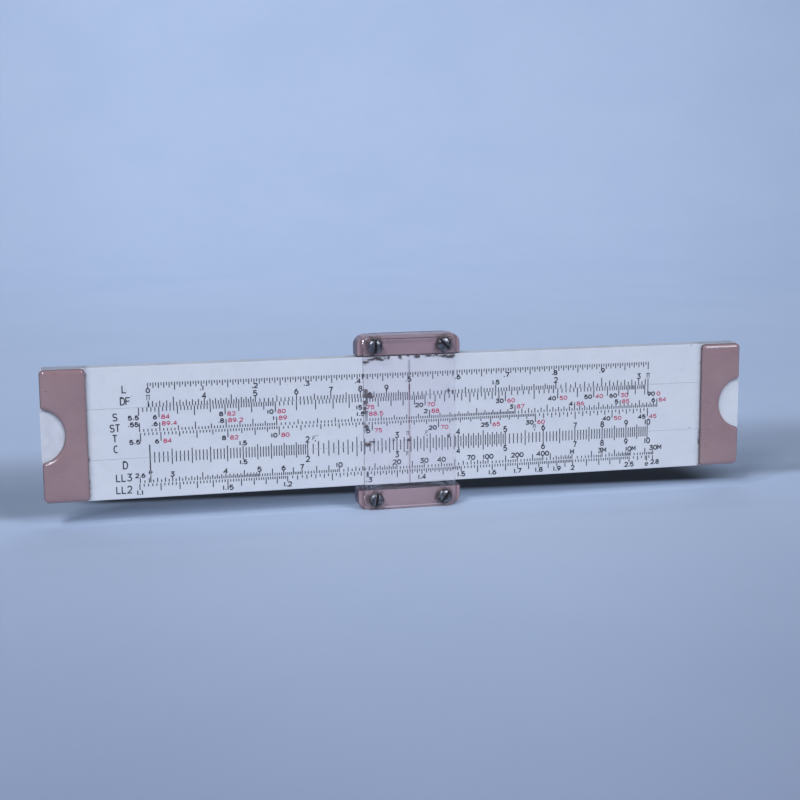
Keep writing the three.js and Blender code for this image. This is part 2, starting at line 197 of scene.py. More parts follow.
def make_camera():
    """The camera stands off its target at the named angles."""
    data = bpy.data.cameras.new("camera")
    data.lens = CAMERA_LENS
    data.sensor_width = SENSOR_WIDTH
    data.clip_start = 0.01
    data.clip_end = 20
    camera = added("camera", data)
    turn = (
        Matrix.Rotation(math.radians(CAMERA_AZIMUTH), 4, "Z")
        @ Matrix.Rotation(math.radians(90 - CAMERA_ELEVATION), 4, "X")
        @ Matrix.Rotation(math.radians(CAMERA_ROLL), 4, "Z")
    )
    back = turn.to_3x3() @ Vector((0, 0, 1))
    camera.matrix_world = Matrix.Translation(CAMERA_TARGET + back * CAMERA_DISTANCE) @ turn
    bpy.context.scene.camera = camera


def make_stage(material):
    """A round floor that sweeps up into a wall on every side."""
    profile = [(0.0, 0.0)]
    profile += [(FLOOR_RADIUS * ring / FLOOR_RINGS, 0.0) for ring in range(1, FLOOR_RINGS)]
    for step in range(SWEEP_STEPS + 1):
        angle = math.pi / 2 * step / SWEEP_STEPS
        across = FLOOR_RADIUS + SWEEP_RADIUS * math.sin(angle)
        profile.append((across, SWEEP_RADIUS * (1 - math.cos(angle))))
    profile.append((FLOOR_RADIUS + SWEEP_RADIUS, WALL_TOP))
    angles = [2 * math.pi * side / STAGE_SIDES for side in range(STAGE_SIDES)]
    mesh = bmesh.new()
    centre = mesh.verts.new((0, 0, 0))
    rings = []
    for radius, height in profile[1:]:
        rings.append([mesh.verts.new((radius * math.cos(a), radius * math.sin(a), height)) for a in angles])
    for side in range(STAGE_SIDES):
        after = (side + 1) % STAGE_SIDES
        mesh.faces.new((centre, rings[0][side], rings[0][after]))
        for low, high in zip(rings, rings[1:]):
            mesh.faces.new((low[side], high[side], high[after], low[after]))
    data = mesh_data("stage", mesh)
    data.shade_smooth()
    data.materials.append(material)
    added("stage", data)


def make_softbox(name, place, aim, size, power, colour):
    """A square area light at a place, aimed at a point, both in metres."""
    data = bpy.data.lights.new(name, "AREA")
    data.shape = "SQUARE"
    data.size = size
    data.energy = power
    data.color = colour
    light = added(name, data)
    light.location = place
    light.rotation_euler = (Vector(aim) - Vector(place)).to_track_quat("-Z", "Y").to_euler()


def make_lights():
    """Two soft boxes in front, a small one high on the left, one on the wall, and one for the rule's back."""
    world = bpy.data.worlds.new("studio")
    world.use_nodes = True
    background = world.node_tree.nodes["Background"]
    cool = (0.775, 0.84, 0.985)
    background.inputs["Color"].default_value = (*cool, 1)
    background.inputs["Strength"].default_value = 0.05
    bpy.context.scene.world = world
    middle = (0, 0, 0.02)
    wall = (0.00, 1.20, 0.50)
    make_softbox("key", (0.45, -0.75, 0.55), middle, 0.42, 4.7, cool)
    make_softbox("left", (-0.50, -0.70, 0.65), middle, 0.26, 4.4, cool)
    make_softbox("upper_left", (-0.42, -0.30, 0.62), middle, 0.10, 1.1, cool)
    make_softbox("wall_wash", (-0.02, 0.55, 1.00), wall, 0.6, 4.8, cool)
    make_softbox("back_fill", (0.35, 0.70, 0.75), middle, 0.5, 0.8, cool)


# ---------------------------------------------------------------- materials


class Shader:
    """A node material being built. Inputs take plain values or other nodes' outputs."""

    def __init__(self, name):
        self.material = bpy.data.materials.new(name)
        self.material.use_nodes = True
        self.tree = self.material.node_tree
        self.tree.nodes.clear()
        # Object coordinates turned to millimetres, so that a scale of 1 repeats every millimetre.
        place = self.add("TexCoord").outputs["Object"]
        self.mm = self.add("Mapping", {"Vector": place, "Scale": (1 / MM,) * 3}).outputs[0]

    def add(self, kind, inputs=None, **settings):
        node = self.tree.nodes.new("ShaderNode" + kind)
        for key, value in settings.items():
            setattr(node, key, value)
        for key, value in (inputs or {}).items():
            if isinstance(value, bpy.types.NodeSocket):
                self.tree.links.new(value, node.inputs[key])
            else:
                node.inputs[key].default_value = value
        return node

    def stretched(self, x=1.0, y=1.0, z=1.0):
        """The coordinates scaled on each axis, for grain that runs one way."""
        return self.add("Mapping", {"Vector": self.mm, "Scale": (x, y, z)}).outputs[0]

    def noise(self, scale, detail=2.0, roughness=0.5, at=None):
        inputs = {"Vector": at or self.mm, "Scale": scale, "Detail": detail, "Roughness": roughness}
        return self.add("TexNoise", inputs).outputs["Fac"]

    def between(self, value, low, high, to_low=0.0, to_high=1.0):
        """A value mapped from one range to another, smoothly, and clamped."""
        inputs = {
            "Value": value,
            "From Min": low,
            "From Max": high,
            "To Min": to_low,
            "To Max": to_high,
        }
        return self.add("MapRange", inputs, interpolation_type="SMOOTHSTEP").outputs[0]

    def math(self, operation, first, second=0.0):
        return self.add("Math", {0: first, 1: second}, operation=operation).outputs[0]

    def plus(self, first, second):
        return self.math("ADD", first, second)

    def minus(self, first, second):
        return self.math("SUBTRACT", first, second)

    def times(self, first, second):
        return self.math("MULTIPLY", first, second)

    def apart(self, first, second=0.0):
        """The distance between two values, without a sign."""
        return self.math("ABSOLUTE", self.minus(first, second) if second else first)

    def axis(self, name):
        """One object coordinate, in millimetres."""
        return self.add("SeparateXYZ", {0: self.mm}).outputs[name]

    def facing(self, name):
        """How squarely the surface faces along an axis, from 0 to 1."""
        normal = self.add("NewGeometry").outputs["Normal"]
        return self.apart(self.add("SeparateXYZ", {0: normal}).outputs[name])

    def stain(self, colour, tint, noise, low, high, share):
        """The colour with patches of a tint where a noise rises from low to high."""
        return self.mix(self.between(noise, low, high, 0.0, share), colour, tint)

    def mix(self, share, first, second):
        """A blend of two colours, each a socket or three numbers."""
        node = self.add("Mix", {0: share}, data_type="RGBA")
        for index, colour in ((6, first), (7, second)):
            if isinstance(colour, bpy.types.NodeSocket):
                self.tree.links.new(colour, node.inputs[index])
            else:
                node.inputs[index].default_value = (*colour, 1)
        return node.outputs[2]

    def bump(self, height, depth_mm, strength=1.0):
        inputs = {"Height": height, "Distance": depth_mm * MM, "Strength": strength}
        return self.add("Bump", inputs).outputs[0]

    def surface(self, **inputs):
        """The Principled shader and its output. Input names are written with underscores."""
        named = {key.replace("_", " "): value for key, value in inputs.items()}
        shader = self.add("BsdfPrincipled", named)
        self.add("OutputMaterial", {"Surface": shader.outputs[0]})
        return self.material


def white_plastic(name, clean, aged, dirt_share, end_dirt_and_shade):
    """Matt white plastic with faint mottling, hairline scratches along the rule and a few specks."""
    s = Shader(name)
    mottling = s.between(s.noise(0.09, 3.0), 0.35, 0.65)
    colour = s.mix(mottling, clean, aged)
    colour = s.stain(colour, (0.30, 0.27, 0.25), s.noise(0.9, 1.0), 0.76, 0.80, 0.5)
    colour = s.stain(colour, (0.46, 0.43, 0.42), s.noise(0.35, 4.0, 0.6), 0.45, 0.8, dirt_share)
    # Painted shade, with some grime, darkens a soft band along the braces' inner edges; grime crusts over in
    # patches.
    brace_x = BACK_BRACE[0].x
    from_middle = s.apart(s.axis("X"))
    from_brace = s.apart(from_middle, brace_x)
    patches = s.between(s.noise(0.5, 3.0), 0.3, 0.7, 0.55, 1.0)
    grime = s.times(s.between(from_brace, 0.0, 1.6, 0.32, 0.0), patches)
    colour = s.mix(grime, colour, (0.32, 0.30, 0.32))
    patches = s.between(s.noise(0.3, 3.0, 0.6), 0.54, 0.66)
    crust = s.times(s.between(from_brace, 0.2, 0.45, 0.75, 0.0), patches)
    colour = s.mix(crust, colour, (0.13, 0.075, 0.095))
    # The left end is thumbed, and the outer edges under the braces are darker with dirt and painted shade.
    at_left_end = s.between(s.axis("X"), -brace_x - 4, -brace_x - 1.5, 0.26, 0.0)
    thumbed = s.times(at_left_end, s.between(s.noise(0.45, 4.0, 0.6), 0.3, 0.7, 0.3, 1.0))
    colour = s.mix(thumbed, colour, (0.33, 0.28, 0.34))
    colour = s.mix(s.between(from_middle, brace_x - 0.5, brace_x, 0.0, end_dirt_and_shade), colour, (0.2, 0.2, 0.22))
    scratches = s.between(s.noise(1.0, 2.0, 0.6, s.stretched(0.12, 3.0, 5.0)), 0.60, 0.70)
    roughness = s.plus(s.between(mottling, 0, 1, 0.36, 0.44), s.times(scratches, 0.08))
    relief = s.minus(s.noise(1.6, 2.0), s.times(scratches, 0.5))
    return s.surface(Base_Color=colour, Roughness=roughness, Normal=s.bump(relief, 0.004))


def brown_plastic():
    """Glossy dusty-rose moulded plastic: slight clouding, orange peel, dark specks and handling wear."""
    s = Shader("brown_plastic")
    clouding = s.between(s.noise(0.12, 3.0), 0.3, 0.7)
    colour = s.mix(clouding, (0.395, 0.245, 0.235), (0.350, 0.212, 0.208))
    colour = s.stain(colour, (0.46, 0.30, 0.275), s.noise(2.2, 4.0, 0.7), 0.35, 0.75, 0.16)
    colour = s.stain(colour, (0.045, 0.03, 0.035), s.noise(1.3, 1.0), 0.80, 0.82, 0.75)
    # The steep sides are painted darker: painted shade that outlines the braces' rims.
    steep_shade = s.between(s.facing("Y"), 0.4, 0.78, 0.85, 0.0)
    colour = s.mix(steep_shade, colour, (0.085, 0.062, 0.075))
    scuffs = s.between(s.noise(0.8, 3.0, 0.6, s.stretched(0.5, 1.0, 2.2)), 0.58, 0.72)
    roughness = s.plus(s.between(clouding, 0, 1, 0.17, 0.24), s.times(scuffs, 0.08))
    normal = s.bump(s.plus(s.noise(1.1, 2.0), s.times(s.noise(9.0, 2.0), 0.15)), 0.01)
    coat = {"Coat_Weight": 0.5, "Coat_Roughness": 0.07}
    return s.surface(Base_Color=colour, Roughness=roughness, Normal=normal, **coat)


def runner_plastic():
    """The same plastic with dark grime that has crept under the windows around the screws."""
    s = Shader("runner_plastic")
    clouding = s.between(s.noise(0.15, 3.0), 0.3, 0.7)
    colour = s.mix(clouding, (0.425, 0.280, 0.282), (0.370, 0.240, 0.242))
    colour = s.stain(colour, (0.05, 0.03, 0.03), s.noise(1.5, 1.0), 0.76, 0.79, 0.8)
    height = s.axis("Z")
    from_middle = s.apart(s.axis("X"), CURSOR_X)
    along = s.minus(from_middle, SCREW_PITCH / 2)
    from_upper = s.apart(height, UPPER_RUNNER[1].z - RUNNER_HALF_HEIGHT)
    across = s.math("MINIMUM", from_upper, s.apart(height, RUNNER_HALF_HEIGHT))
    from_screw = s.math("SQRT", s.plus(s.times(along, along), s.times(across, across)))
    ragged = s.plus(from_screw, s.between(s.noise(0.8, 4.0, 0.6), 0.3, 0.7, -0.6, 0.6))
    colour = s.mix(s.between(ragged, 1.7, 2.6, 0.75, 0.0), colour, (0.085, 0.058, 0.050))
    # Painted shade from the window's edge, with grime, darkens a band beside it, and the side faces are
    # painted darker as painted shade.
    window_half = (BACK_WINDOW[1].x - BACK_WINDOW[0].x) / 2
    beside = s.apart(from_middle, window_half + 0.3)
    colour = s.mix(s.between(beside, 0.15, 0.5, 0.5, 0.0), colour, (0.13, 0.060, 0.070))
    colour = s.mix(s.between(s.facing("X"), 0.6, 0.95, 0.0, 0.8), colour, (0.07, 0.06, 0.085))
    # The runners' faces towards the rule's edges are darkened by dirt packed in the gaps and by painted shade
    # there.
    over_lower = s.between(height, LOWER_RUNNER[1].z - 0.35, LOWER_RUNNER[1].z - 0.15)
    under_upper = s.between(height, UPPER_RUNNER[0].z + 0.1, UPPER_RUNNER[0].z + 0.3, 1.0, 0.0)
    gap_dirt_and_shade = s.times(s.times(over_lower, under_upper), 0.88)
    colour = s.mix(gap_dirt_and_shade, colour, (0.055, 0.035, 0.045))
    roughness = s.between(clouding, 0, 1, 0.30, 0.40)
    return s.surface(Base_Color=colour, Roughness=roughness, Normal=s.bump(s.noise(1.4, 3.0), 0.012))


def clear_plastic(name, least_roughness):
    """Clear acrylic, faintly scratched. Light passes it straight, so that the faces behind stay lit."""
    s = Shader(name)
    scratches = s.between(s.noise(1.0, 2.0, 0.6, s.stretched(0.15, 1.0, 4.0)), 0.62, 0.72)
    smears = s.between(s.noise(0.22, 3.0), 0.5, 0.8)
    wear = s.plus(s.times(scratches, 0.07), s.times(smears, 0.03))
    inputs = {
        "Base Color": (1.0, 0.990, 0.995, 1),
        "Roughness": s.plus(wear, least_roughness),
        "IOR": 1.49,
        "Transmission Weight": 1.0,
    }
    shader = s.add("BsdfPrincipled", inputs)
    clear = s.add("BsdfTransparent", {"Color": (0.985, 0.975, 0.985, 1)})
    # Rays that light the face behind pass straight, so that no lamp is counted again through a bent ray.
    path = s.add("LightPath").outputs
    straight = s.math("MAXIMUM", path["Is Shadow Ray"], path["Is Diffuse Ray"])
    both = s.add("MixShader", {0: straight, 1: shader.outputs[0], 2: clear.outputs[0]})
    s.add("OutputMaterial", {"Surface": both.outputs[0]})
    return s.material


def steel(name, bright, dark, low_roughness, high_roughness):
    """Worn steel: a bright metal with dark tarnish in patches and fine turning marks."""
    s = Shader(name)
    colour = s.mix(s.between(s.noise(1.1, 5.0, 0.65), 0.40, 0.62), bright, dark)
    roughness = s.between(s.noise(2.5, 4.0, 0.6), 0.3, 0.7, low_roughness, high_roughness)
    relief = s.plus(s.noise(3.0, 4.0, 0.6), s.noise(0.8, 2.0))
    return s.surface(Base_Color=colour, Metallic=1.0, Roughness=roughness, Normal=s.bump(relief, 0.01))


def ink(name, fresh, worn):
    """Ink filled into engraved lines, slightly uneven."""
    s = Shader(name)
    wear = s.between(s.noise(0.7, 4.0, 0.7), 0.45, 0.75)
    return s.surface(Base_Color=s.mix(wear, fresh, worn), Roughness=s.between(wear, 0, 1, 0.45, 0.6))


def hairline_ink():
    """Purple-red ink that has darkened towards the top of the line."""
    s = Shader("hairline_ink")
    wear = s.between(s.noise(0.9, 4.0, 0.7), 0.4, 0.7)
    colour = s.mix(wear, (0.26, 0.030, 0.075), (0.36, 0.085, 0.14))
    aged = s.between(s.axis("Z"), RULE_TOP - 9, RULE_TOP - 5, 0.0, 0.9)
    return s.surface(Base_Color=s.mix(aged, colour, (0.06, 0.045, 0.055)), Roughness=0.5)


def grime_material(name, deep, thin):
    """Dried dirt, in two tones."""
    s = Shader(name)
    colour = s.mix(s.between(s.noise(2.4, 5.0, 0.7), 0.35, 0.65), deep, thin)
    return s.surface(Base_Color=colour, Roughness=0.85, Normal=s.bump(s.noise(6.0, 3.0), 0.01))


def stage_material():
    """Pale blue paper with a faint mottle. Painted light falloff makes it darker and bluer to the front, and
    painted shade lies behind the rule.
    """
    s = Shader("stage_paper")
    mottle = s.between(s.noise(0.012, 4.0, 0.6), 0.3, 0.7)
    colour = s.mix(mottle, (0.600, 0.690, 0.815), (0.625, 0.712, 0.830))
    across, depth = s.axis("X"), s.axis("Y")
    # Painted light falloff: the paper darkens towards the front and brightens a little towards the back.
    falloff = {"Value": depth, "From Min": -270.0, "From Max": 15.0, "To Min": 0.365, "To Max": 0.96}
    light = s.plus(s.add("MapRange", falloff).outputs[0], s.between(depth, 30, 300, 0.0, 0.06))
    # Painted light: the paper is brightest along a line that runs back and to the right, and falls off to
    # each side of it.
    aside = s.apart(across, s.plus(s.times(depth, 0.23), 12))
    spread = s.plus(s.times(s.math("MAXIMUM", depth, -250), 0.26), 100)
    light = s.times(light, s.between(s.math("DIVIDE", aside, spread), 0.1, 1.2, 1.05, 0.92))
    colour = s.mix(light, (0.0, 0.0, 0.07), colour)
    # A broad faint painted shade behind the rule, and a deep painted shade where the rule and its cursor
    # would keep the light out.
    # The deep one leans a little, so it lies farther back at the left.
    inside = s.between(s.apart(across), 130, 230, 1.0, 0.0)
    broad = s.times(shade_band(s, depth, (6, 16), (55, 105), 0.34), inside)
    slanted = s.plus(depth, s.times(s.minus(across, 50), 0.088))
    inside = s.times(s.between(across, -83, -70), s.between(across, 78, 100, 1.0, 0.0))
    deep = s.times(shade_band(s, slanted, (8.5, 13.5), (32, 72), 0.94), inside)
    lit = s.times(s.minus(1.0, broad), s.minus(1.0, deep))
    colour = s.mix(lit, (0.0, 0.0, 0.0), colour)
    return s.surface(Base_Color=colour, Roughness=0.9, Specular_IOR_Level=0.2)


def shade_band(s, depth, front, back, strength):
    """A soft band of shade across the paper, from a front edge to a back edge, each given as two depths."""
    return s.times(s.between(depth, *front, 0.0, strength), s.between(depth, *back, 1.0, 0.0))


# ---------------------------------------------------------------- outlines


def arc(a, b, radius, start, end, step):
    """Points along an arc, each with its outward normal. An arc that runs clockwise is hollow."""
    steps = max(4, math.ceil(abs(end - start) * radius / step))
    side = 1 if end > start else -1
    points = []
    for index in range(steps + 1):
        angle = start + (end - start) * index / steps
        out = Vector((math.cos(angle), math.sin(angle)))
        points.append((Vector((a, b)) + out * radius, out * side))
    return points


def rounded(corners, step=0.08):
    """A closed outline through corners given as (a, b, radius), counter-clockwise, each one rounded."""
    points = []
    count = len(corners)
    for index, (a, b, radius) in enumerate(corners):
        here = Vector((a, b))
        before = (here - Vector(corners[index - 1][:2])).normalized()
        after = (Vector(corners[(index + 1) % count][:2]) - here).normalized()
        turn = math.atan2(before.cross(after), before.dot(after))
        inward = (after - before).normalized()
        centre = here + inward * (radius / math.cos(turn / 2))
        first = math.atan2(before.y, before.x) - math.copysign(math.pi / 2, turn)
        points += arc(centre.x, centre.y, radius, first, first + turn, step)
    return points


def inset(outline, distance):
    """The outline moved inward by a distance, point by point."""
    return [point - normal * distance for point, normal in outline]


def edge_levels(across, deep, height, steps=5):
    """(inset, height) pairs that round an edge over to a face at a height, along a quarter of an ellipse."""
    levels = []
    for index in range(steps + 1):
        angle = math.pi / 2 * index / steps
        levels.append((across * (1 - math.cos(angle)), height - deep * (1 - math.sin(angle))))
    return levels


# ---------------------------------------------------------------- solids

# Three ways to place an outline's a and b, and a level's c, in the row frame.


def on_back(a, b, c):
    return Vector((a, c, b))


def on_front(a, b, c):
    return Vector((a, -c, b))


def along_x(a, b, c):
    return Vector((c, a, b))


def stacked(outline, levels, place):
    """A closed solid through copies of an outline, each inset and placed at its own level."""
    mesh = bmesh.new()
    rings = []
    for distance, level in levels:
        rings.append([mesh.verts.new(place(point.x, point.y, level)) for point in inset(outline, distance)])
    count = len(outline)
    for low, high in zip(rings, rings[1:]):
        for index in range(count):
            after = (index + 1) % count
            mesh.faces.new((low[index], low[after], high[after], high[index]))
    mesh.faces.new(rings[0])
    mesh.faces.new(rings[-1])
    return solid_mesh(mesh)


def solid_mesh(mesh):
    """The mesh with doubled points merged and its faces pointing out."""
    bmesh.ops.remove_doubles(mesh, verts=mesh.verts, dist=1e-5)
    bmesh.ops.recalc_face_normals(mesh, faces=mesh.faces)
    return mesh_data("part", mesh)


def turned(rows, segments):
    """A solid turned about Z. A row is (radius, height), and its radius may be a function of the angle.
    The first and last rows are on the axis."""
    mesh = bmesh.new()
    bottom = mesh.verts.new((0, 0, rows[0][1]))
    top = mesh.verts.new((0, 0, rows[-1][1]))
    rings = []
    for radius, height in rows[1:-1]:
        ring = []
        for segment in range(segments):
            angle = 2 * math.pi * segment / segments
            reach = radius(angle) if callable(radius) else radius
            ring.append(mesh.verts.new((reach * math.cos(angle), reach * math.sin(angle), height)))
        rings.append(ring)
    for index in range(segments):
        after = (index + 1) % segments
        mesh.faces.new((bottom, rings[0][after], rings[0][index]))
        mesh.faces.new((top, rings[-1][index], rings[-1][after]))
        for low, high in zip(rings, rings[1:]):
            mesh.faces.new((low[index], low[after], high[after], high[index]))
    return solid_mesh(mesh)


def rod(radius, y0, y1, x, z, end_radius=None, segments=32):
    """A plain rod or cone along Y, used as a cutter."""
    end_radius = radius if end_radius is None else end_radius
    data = turned([(0, y0), (radius, y0), (end_radius, y1), (0, y1)], segments)
    data.transform(Matrix.Translation((x, 0, z)) @ Matrix.Rotation(-math.pi / 2, 4, "X"))
    return data


def block(low, high):
    """A plain box, used as a cutter."""
    mesh = bmesh.new()
    bmesh.ops.create_cube(mesh, size=1)
    data = mesh_data("block", mesh)
    size = Vector(high) - Vector(low)
    data.transform(Matrix.Translation((Vector(low) + Vector(high)) / 2) @ Matrix.Diagonal((*size, 1)))
    return data


def cut(data, cutters):
    """The mesh with the cutters' volumes taken out, one after another."""
    target = added("target", data)
    tools = []
    for cutter in cutters:
        tool = added("tool", cutter)
        modifier = target.modifiers.new("cut", "BOOLEAN")
        modifier.operation = "DIFFERENCE"
        modifier.solver = "MANIFOLD"
        modifier.object = tool
        tools.append(tool)
    graph = bpy.context.evaluated_depsgraph_get()
    graph.update()
    made = bpy.data.meshes.new_from_object(target.evaluated_get(graph))
    for done in [target, *tools]:
        bpy.data.objects.remove(done)
    # The modifier leaves empty material slots behind.
    made.materials.clear()
    return made


def piece(name, data, materials, body, replaces=(), sharp=35):
    """Turns a mesh in millimetres into a finished piece that rides on a body."""
    data.transform(Matrix.Scale(MM, 4))
    data.name = name
    for material in materials:
        data.materials.append(material)
    data.shade_smooth()
    data.set_sharp_from_angle(angle=math.radians(sharp))
    made = added(name, data)
    weighted = made.modifiers.new("weighted normals", "WEIGHTED_NORMAL")
    weighted.keep_sharp = True
    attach(made, body)
    if replaces:
        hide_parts(*replaces)
    return made


# ---------------------------------------------------------------- stators and slide


def bar_levels(half_length):
    """Levels for a bar along X with lightly chamfered ends."""
    return [
        (END_CHAMFER, -half_length),
        (0, -half_length + END_CHAMFER),
        (0, half_length - END_CHAMFER),
        (END_CHAMFER, half_length),
    ]


def stator_section(outer_edge, seam_edge):
    """A stator's section in Y and Z, with the groove for the slide's tongue in its seam edge."""
    groove = TONGUE_HALF + TONGUE_CLEARANCE
    inward = math.copysign(1, outer_edge - seam_edge)
    floor = seam_edge + inward * (SLIDE[1].z - UPPER_SEAM + SEAM_GAP)
    half = [
        (groove, floor, SEAM_ROUND),
        (groove, seam_edge, SEAM_ROUND),
        (FACE_Y, seam_edge, SEAM_ROUND),
        (FACE_Y, outer_edge, EDGE_ROUND),
    ]
    other = [(-y, z, radius) for y, z, radius in reversed(half)]
    corners = half + other
    return rounded(corners if inward > 0 else corners[::-1])


def slide_section():
    low = LOWER_STATOR[1].z + FINE_SEAM_GAP
    high = UPPER_STATOR[0].z - FINE_SEAM_GAP
    right = [
        (TONGUE_HALF, SLIDE[0].z, 0.15),
        (TONGUE_HALF, low, SEAM_ROUND),
        (FACE_Y, low, SEAM_ROUND),
        (FACE_Y, high, SEAM_ROUND),
        (TONGUE_HALF, high, SEAM_ROUND),
        (TONGUE_HALF, SLIDE[1].z, 0.15),
    ]
    left = [(-y, z, radius) for y, z, radius in reversed(right)]
    return rounded(right + left)


def mark_outer_edge(data, outer, inward):
    """Gives a stator's long outer edge the second material."""
    for polygon in data.polygons:
        if (polygon.center.z - outer) * inward < EDGE_ROUND / 2:
            polygon.material_index = 1


def corner_cutter(side, edge, inward):
    """A bar along Y that rounds off one outer corner of the rule, at an end and along an outer edge."""
    radius = RULE_CORNER_RADIUS
    x = side * (RULE_END - radius)
    z = edge + inward * radius
    xs = sorted((x, x + side * 2 * radius))
    zs = sorted((z, z - inward * 2 * radius))
    corner = block((xs[0], -FACE_Y - 1, zs[0]), (xs[1], FACE_Y + 1, zs[1]))
    return cut(corner, [rod(radius, -FACE_Y - 2, FACE_Y + 2, x, z)])


def make_stators(face, edge):
    """Both stators, drilled for the brace screws. Their long outer edges have a second material, darker than
    the faces and with more dirt.
    """
    hole = BRACE_SCREW_SHANK_RADIUS + BRACE_SCREW_HOLE_CLEARANCE
    places = [(x, z) for _, _, x, z in brace_screw_places()]
    for name, node, outer, seam in (
        ("upper_stator_body", "upper_stator", RULE_TOP, UPPER_STATOR[0].z),
        ("lower_stator_body", "lower_stator", RULE_BOTTOM, LOWER_STATOR[1].z),
    ):
        data = stacked(stator_section(outer, seam), bar_levels(RULE_END), along_x)
        low, high = min(outer, seam), max(outer, seam)
        cutters = [rod(hole, -FACE_Y - 1, FACE_Y + 1, x, z) for x, z in places if low < z < high]
        inward = math.copysign(1, seam - outer)
        cutters += [corner_cutter(side, outer, inward) for side in (-1, 1)]
        data = cut(data, cutters)
        mark_outer_edge(data, outer, inward)
        piece(name, data, [face, edge], "frame", [node])


def make_slide(face):
    data = stacked(slide_section(), bar_levels(SLIDE[1].x), along_x)
    piece("slide_body", data, [face], "slide", ["slide"])


# ---------------------------------------------------------------- end braces


def brace_outline(side):
    """The brace's outline in X and Z, at the right end for side 1 and at the left end for side -1."""
    outer = RULE_END
    bottom, top = BACK_BRACE[0].z, BACK_BRACE[1].z
    notch_x = outer - NOTCH_DEPTH + NOTCH_RADIUS
    lip_x = outer - NOTCH_LIP_RADIUS
    between = NOTCH_RADIUS + NOTCH_LIP_RADIUS
    lip_rise = math.sqrt(between**2 - (notch_x - lip_x) ** 2)
    lean = math.atan2(lip_rise, notch_x - lip_x)
    inner_x = BACK_BRACE[0].x + BRACE_INNER_RADIUS
    outer_x = outer - BRACE_OUTER_RADIUS
    inner_r, outer_r, lip_r = BRACE_INNER_RADIUS, BRACE_OUTER_RADIUS, NOTCH_LIP_RADIUS
    half, quarter = math.pi, math.pi / 2
    step = 0.16
    points = []
    points += arc(inner_x, bottom + inner_r, inner_r, half, half + quarter, step)
    points += arc(outer_x, bottom + outer_r, outer_r, -quarter, 0, step)
    points += arc(lip_x, NOTCH_Z - lip_rise, lip_r, 0, lean, step)
    points += arc(notch_x, NOTCH_Z, NOTCH_RADIUS, half + lean, half - lean, 0.3)
    points += arc(lip_x, NOTCH_Z + lip_rise, lip_r, -lean, 0, step)
    points += arc(outer_x, top - outer_r, outer_r, 0, quarter, step)
    points += arc(inner_x, top - inner_r, inner_r, quarter, half, step)
    if side > 0:
        return points
    flip = Vector((-1, 1))
    return [(point * flip, normal * flip) for point, normal in reversed(points)]


def brace_screw_places():
    """(side, node name, x, z) of each brace screw, read from the CAD screws."""
    places = []
    for end, side in (("left", -1), ("right", 1)):
        for level in ("upper", "lower"):
            for place in ("outer", "inner"):
                name = f"{end}_{level}_{place}_brace_screw"
                low, high = box_mm(name)
                places.append((side, name, (low.x + high.x) / 2, (low.z + high.z) / 2))
    return places


def pillow_drop(distance):
    """How far a brace's face lies below its middle at a distance from the outline."""
    return PILLOW_DEEP * max(0.0, 1 - distance / PILLOW_ACROSS) ** 2


def is_at(vert, level):
    """Whether a point lies at a level in Y, on either side of the rule."""
    return abs(abs(vert.co.y) - level) < 1e-4


def brace_plate(side, sign):
    """A brace with a rounded rim and a face that swells gently: at the front for sign -1, or at the back."""
    outline = brace_outline(side)
    levels = [(BRACE_SEAT_ROUND, BRACE_SEAT), (0, BRACE_SEAT + BRACE_SEAT_ROUND)]
    for distance, level in edge_levels(BRACE_EDGE_ACROSS, BRACE_EDGE_DEEP, BRACE_FACE, 9):
        levels.append((distance, level - pillow_drop(distance)))
    data = stacked(outline, levels, on_back if sign > 0 else on_front)
    mesh = bmesh.new()
    mesh.from_mesh(data)
    rim = levels[-1][1]
    on_face = [face for face in mesh.faces if all(is_at(vert, rim) for vert in face.verts)]
    low = Vector((side * RULE_END, 0, BACK_BRACE[0].z))
    if side > 0:
        low.x = BACK_BRACE[0].x
    for axis, length in ((0, BACK_BRACE[1].x - BACK_BRACE[0].x), (2, BACK_BRACE[1].z - BACK_BRACE[0].z)):
        normal = Vector((axis == 0, 0, axis == 2))
        count = round(length / PILLOW_GRID)
        for index in range(1, count):
            at = low + normal * (length * index / count)
            edges = {edge for face in on_face for edge in face.edges}
            verts = {vert for face in on_face for vert in face.verts}
            bmesh.ops.bisect_plane(mesh, geom=[*verts, *edges, *on_face], plane_co=at, plane_no=normal)
            on_face = [face for face in mesh.faces if all(is_at(vert, rim) for vert in face.verts)]
    swell(mesh, inset(outline, BRACE_EDGE_ACROSS), rim, sign)
    return mesh_data("brace", mesh)


def swell(mesh, rim_outline, rim, sign):
    """Raises the face's points by their distance from the rim."""
    verts = [vert for vert in mesh.verts if is_at(vert, rim)]
    points = numpy.array([(vert.co.x, vert.co.z) for vert in verts])[:, None, :]
    starts = numpy.array([tuple(point) for point in rim_outline])
    spans = numpy.roll(starts, -1, axis=0) - starts
    lengths = numpy.maximum((spans**2).sum(axis=1), 1e-12)
    share = numpy.clip(((points - starts) * spans).sum(axis=2) / lengths, 0, 1)
    nearest = starts + share[:, :, None] * spans
    distances = numpy.sqrt(((points - nearest) ** 2).sum(axis=2)).min(axis=1)
    for vert, distance in zip(verts, distances):
        vert.co.y = sign * (BRACE_FACE - pillow_drop(BRACE_EDGE_ACROSS + float(distance)))


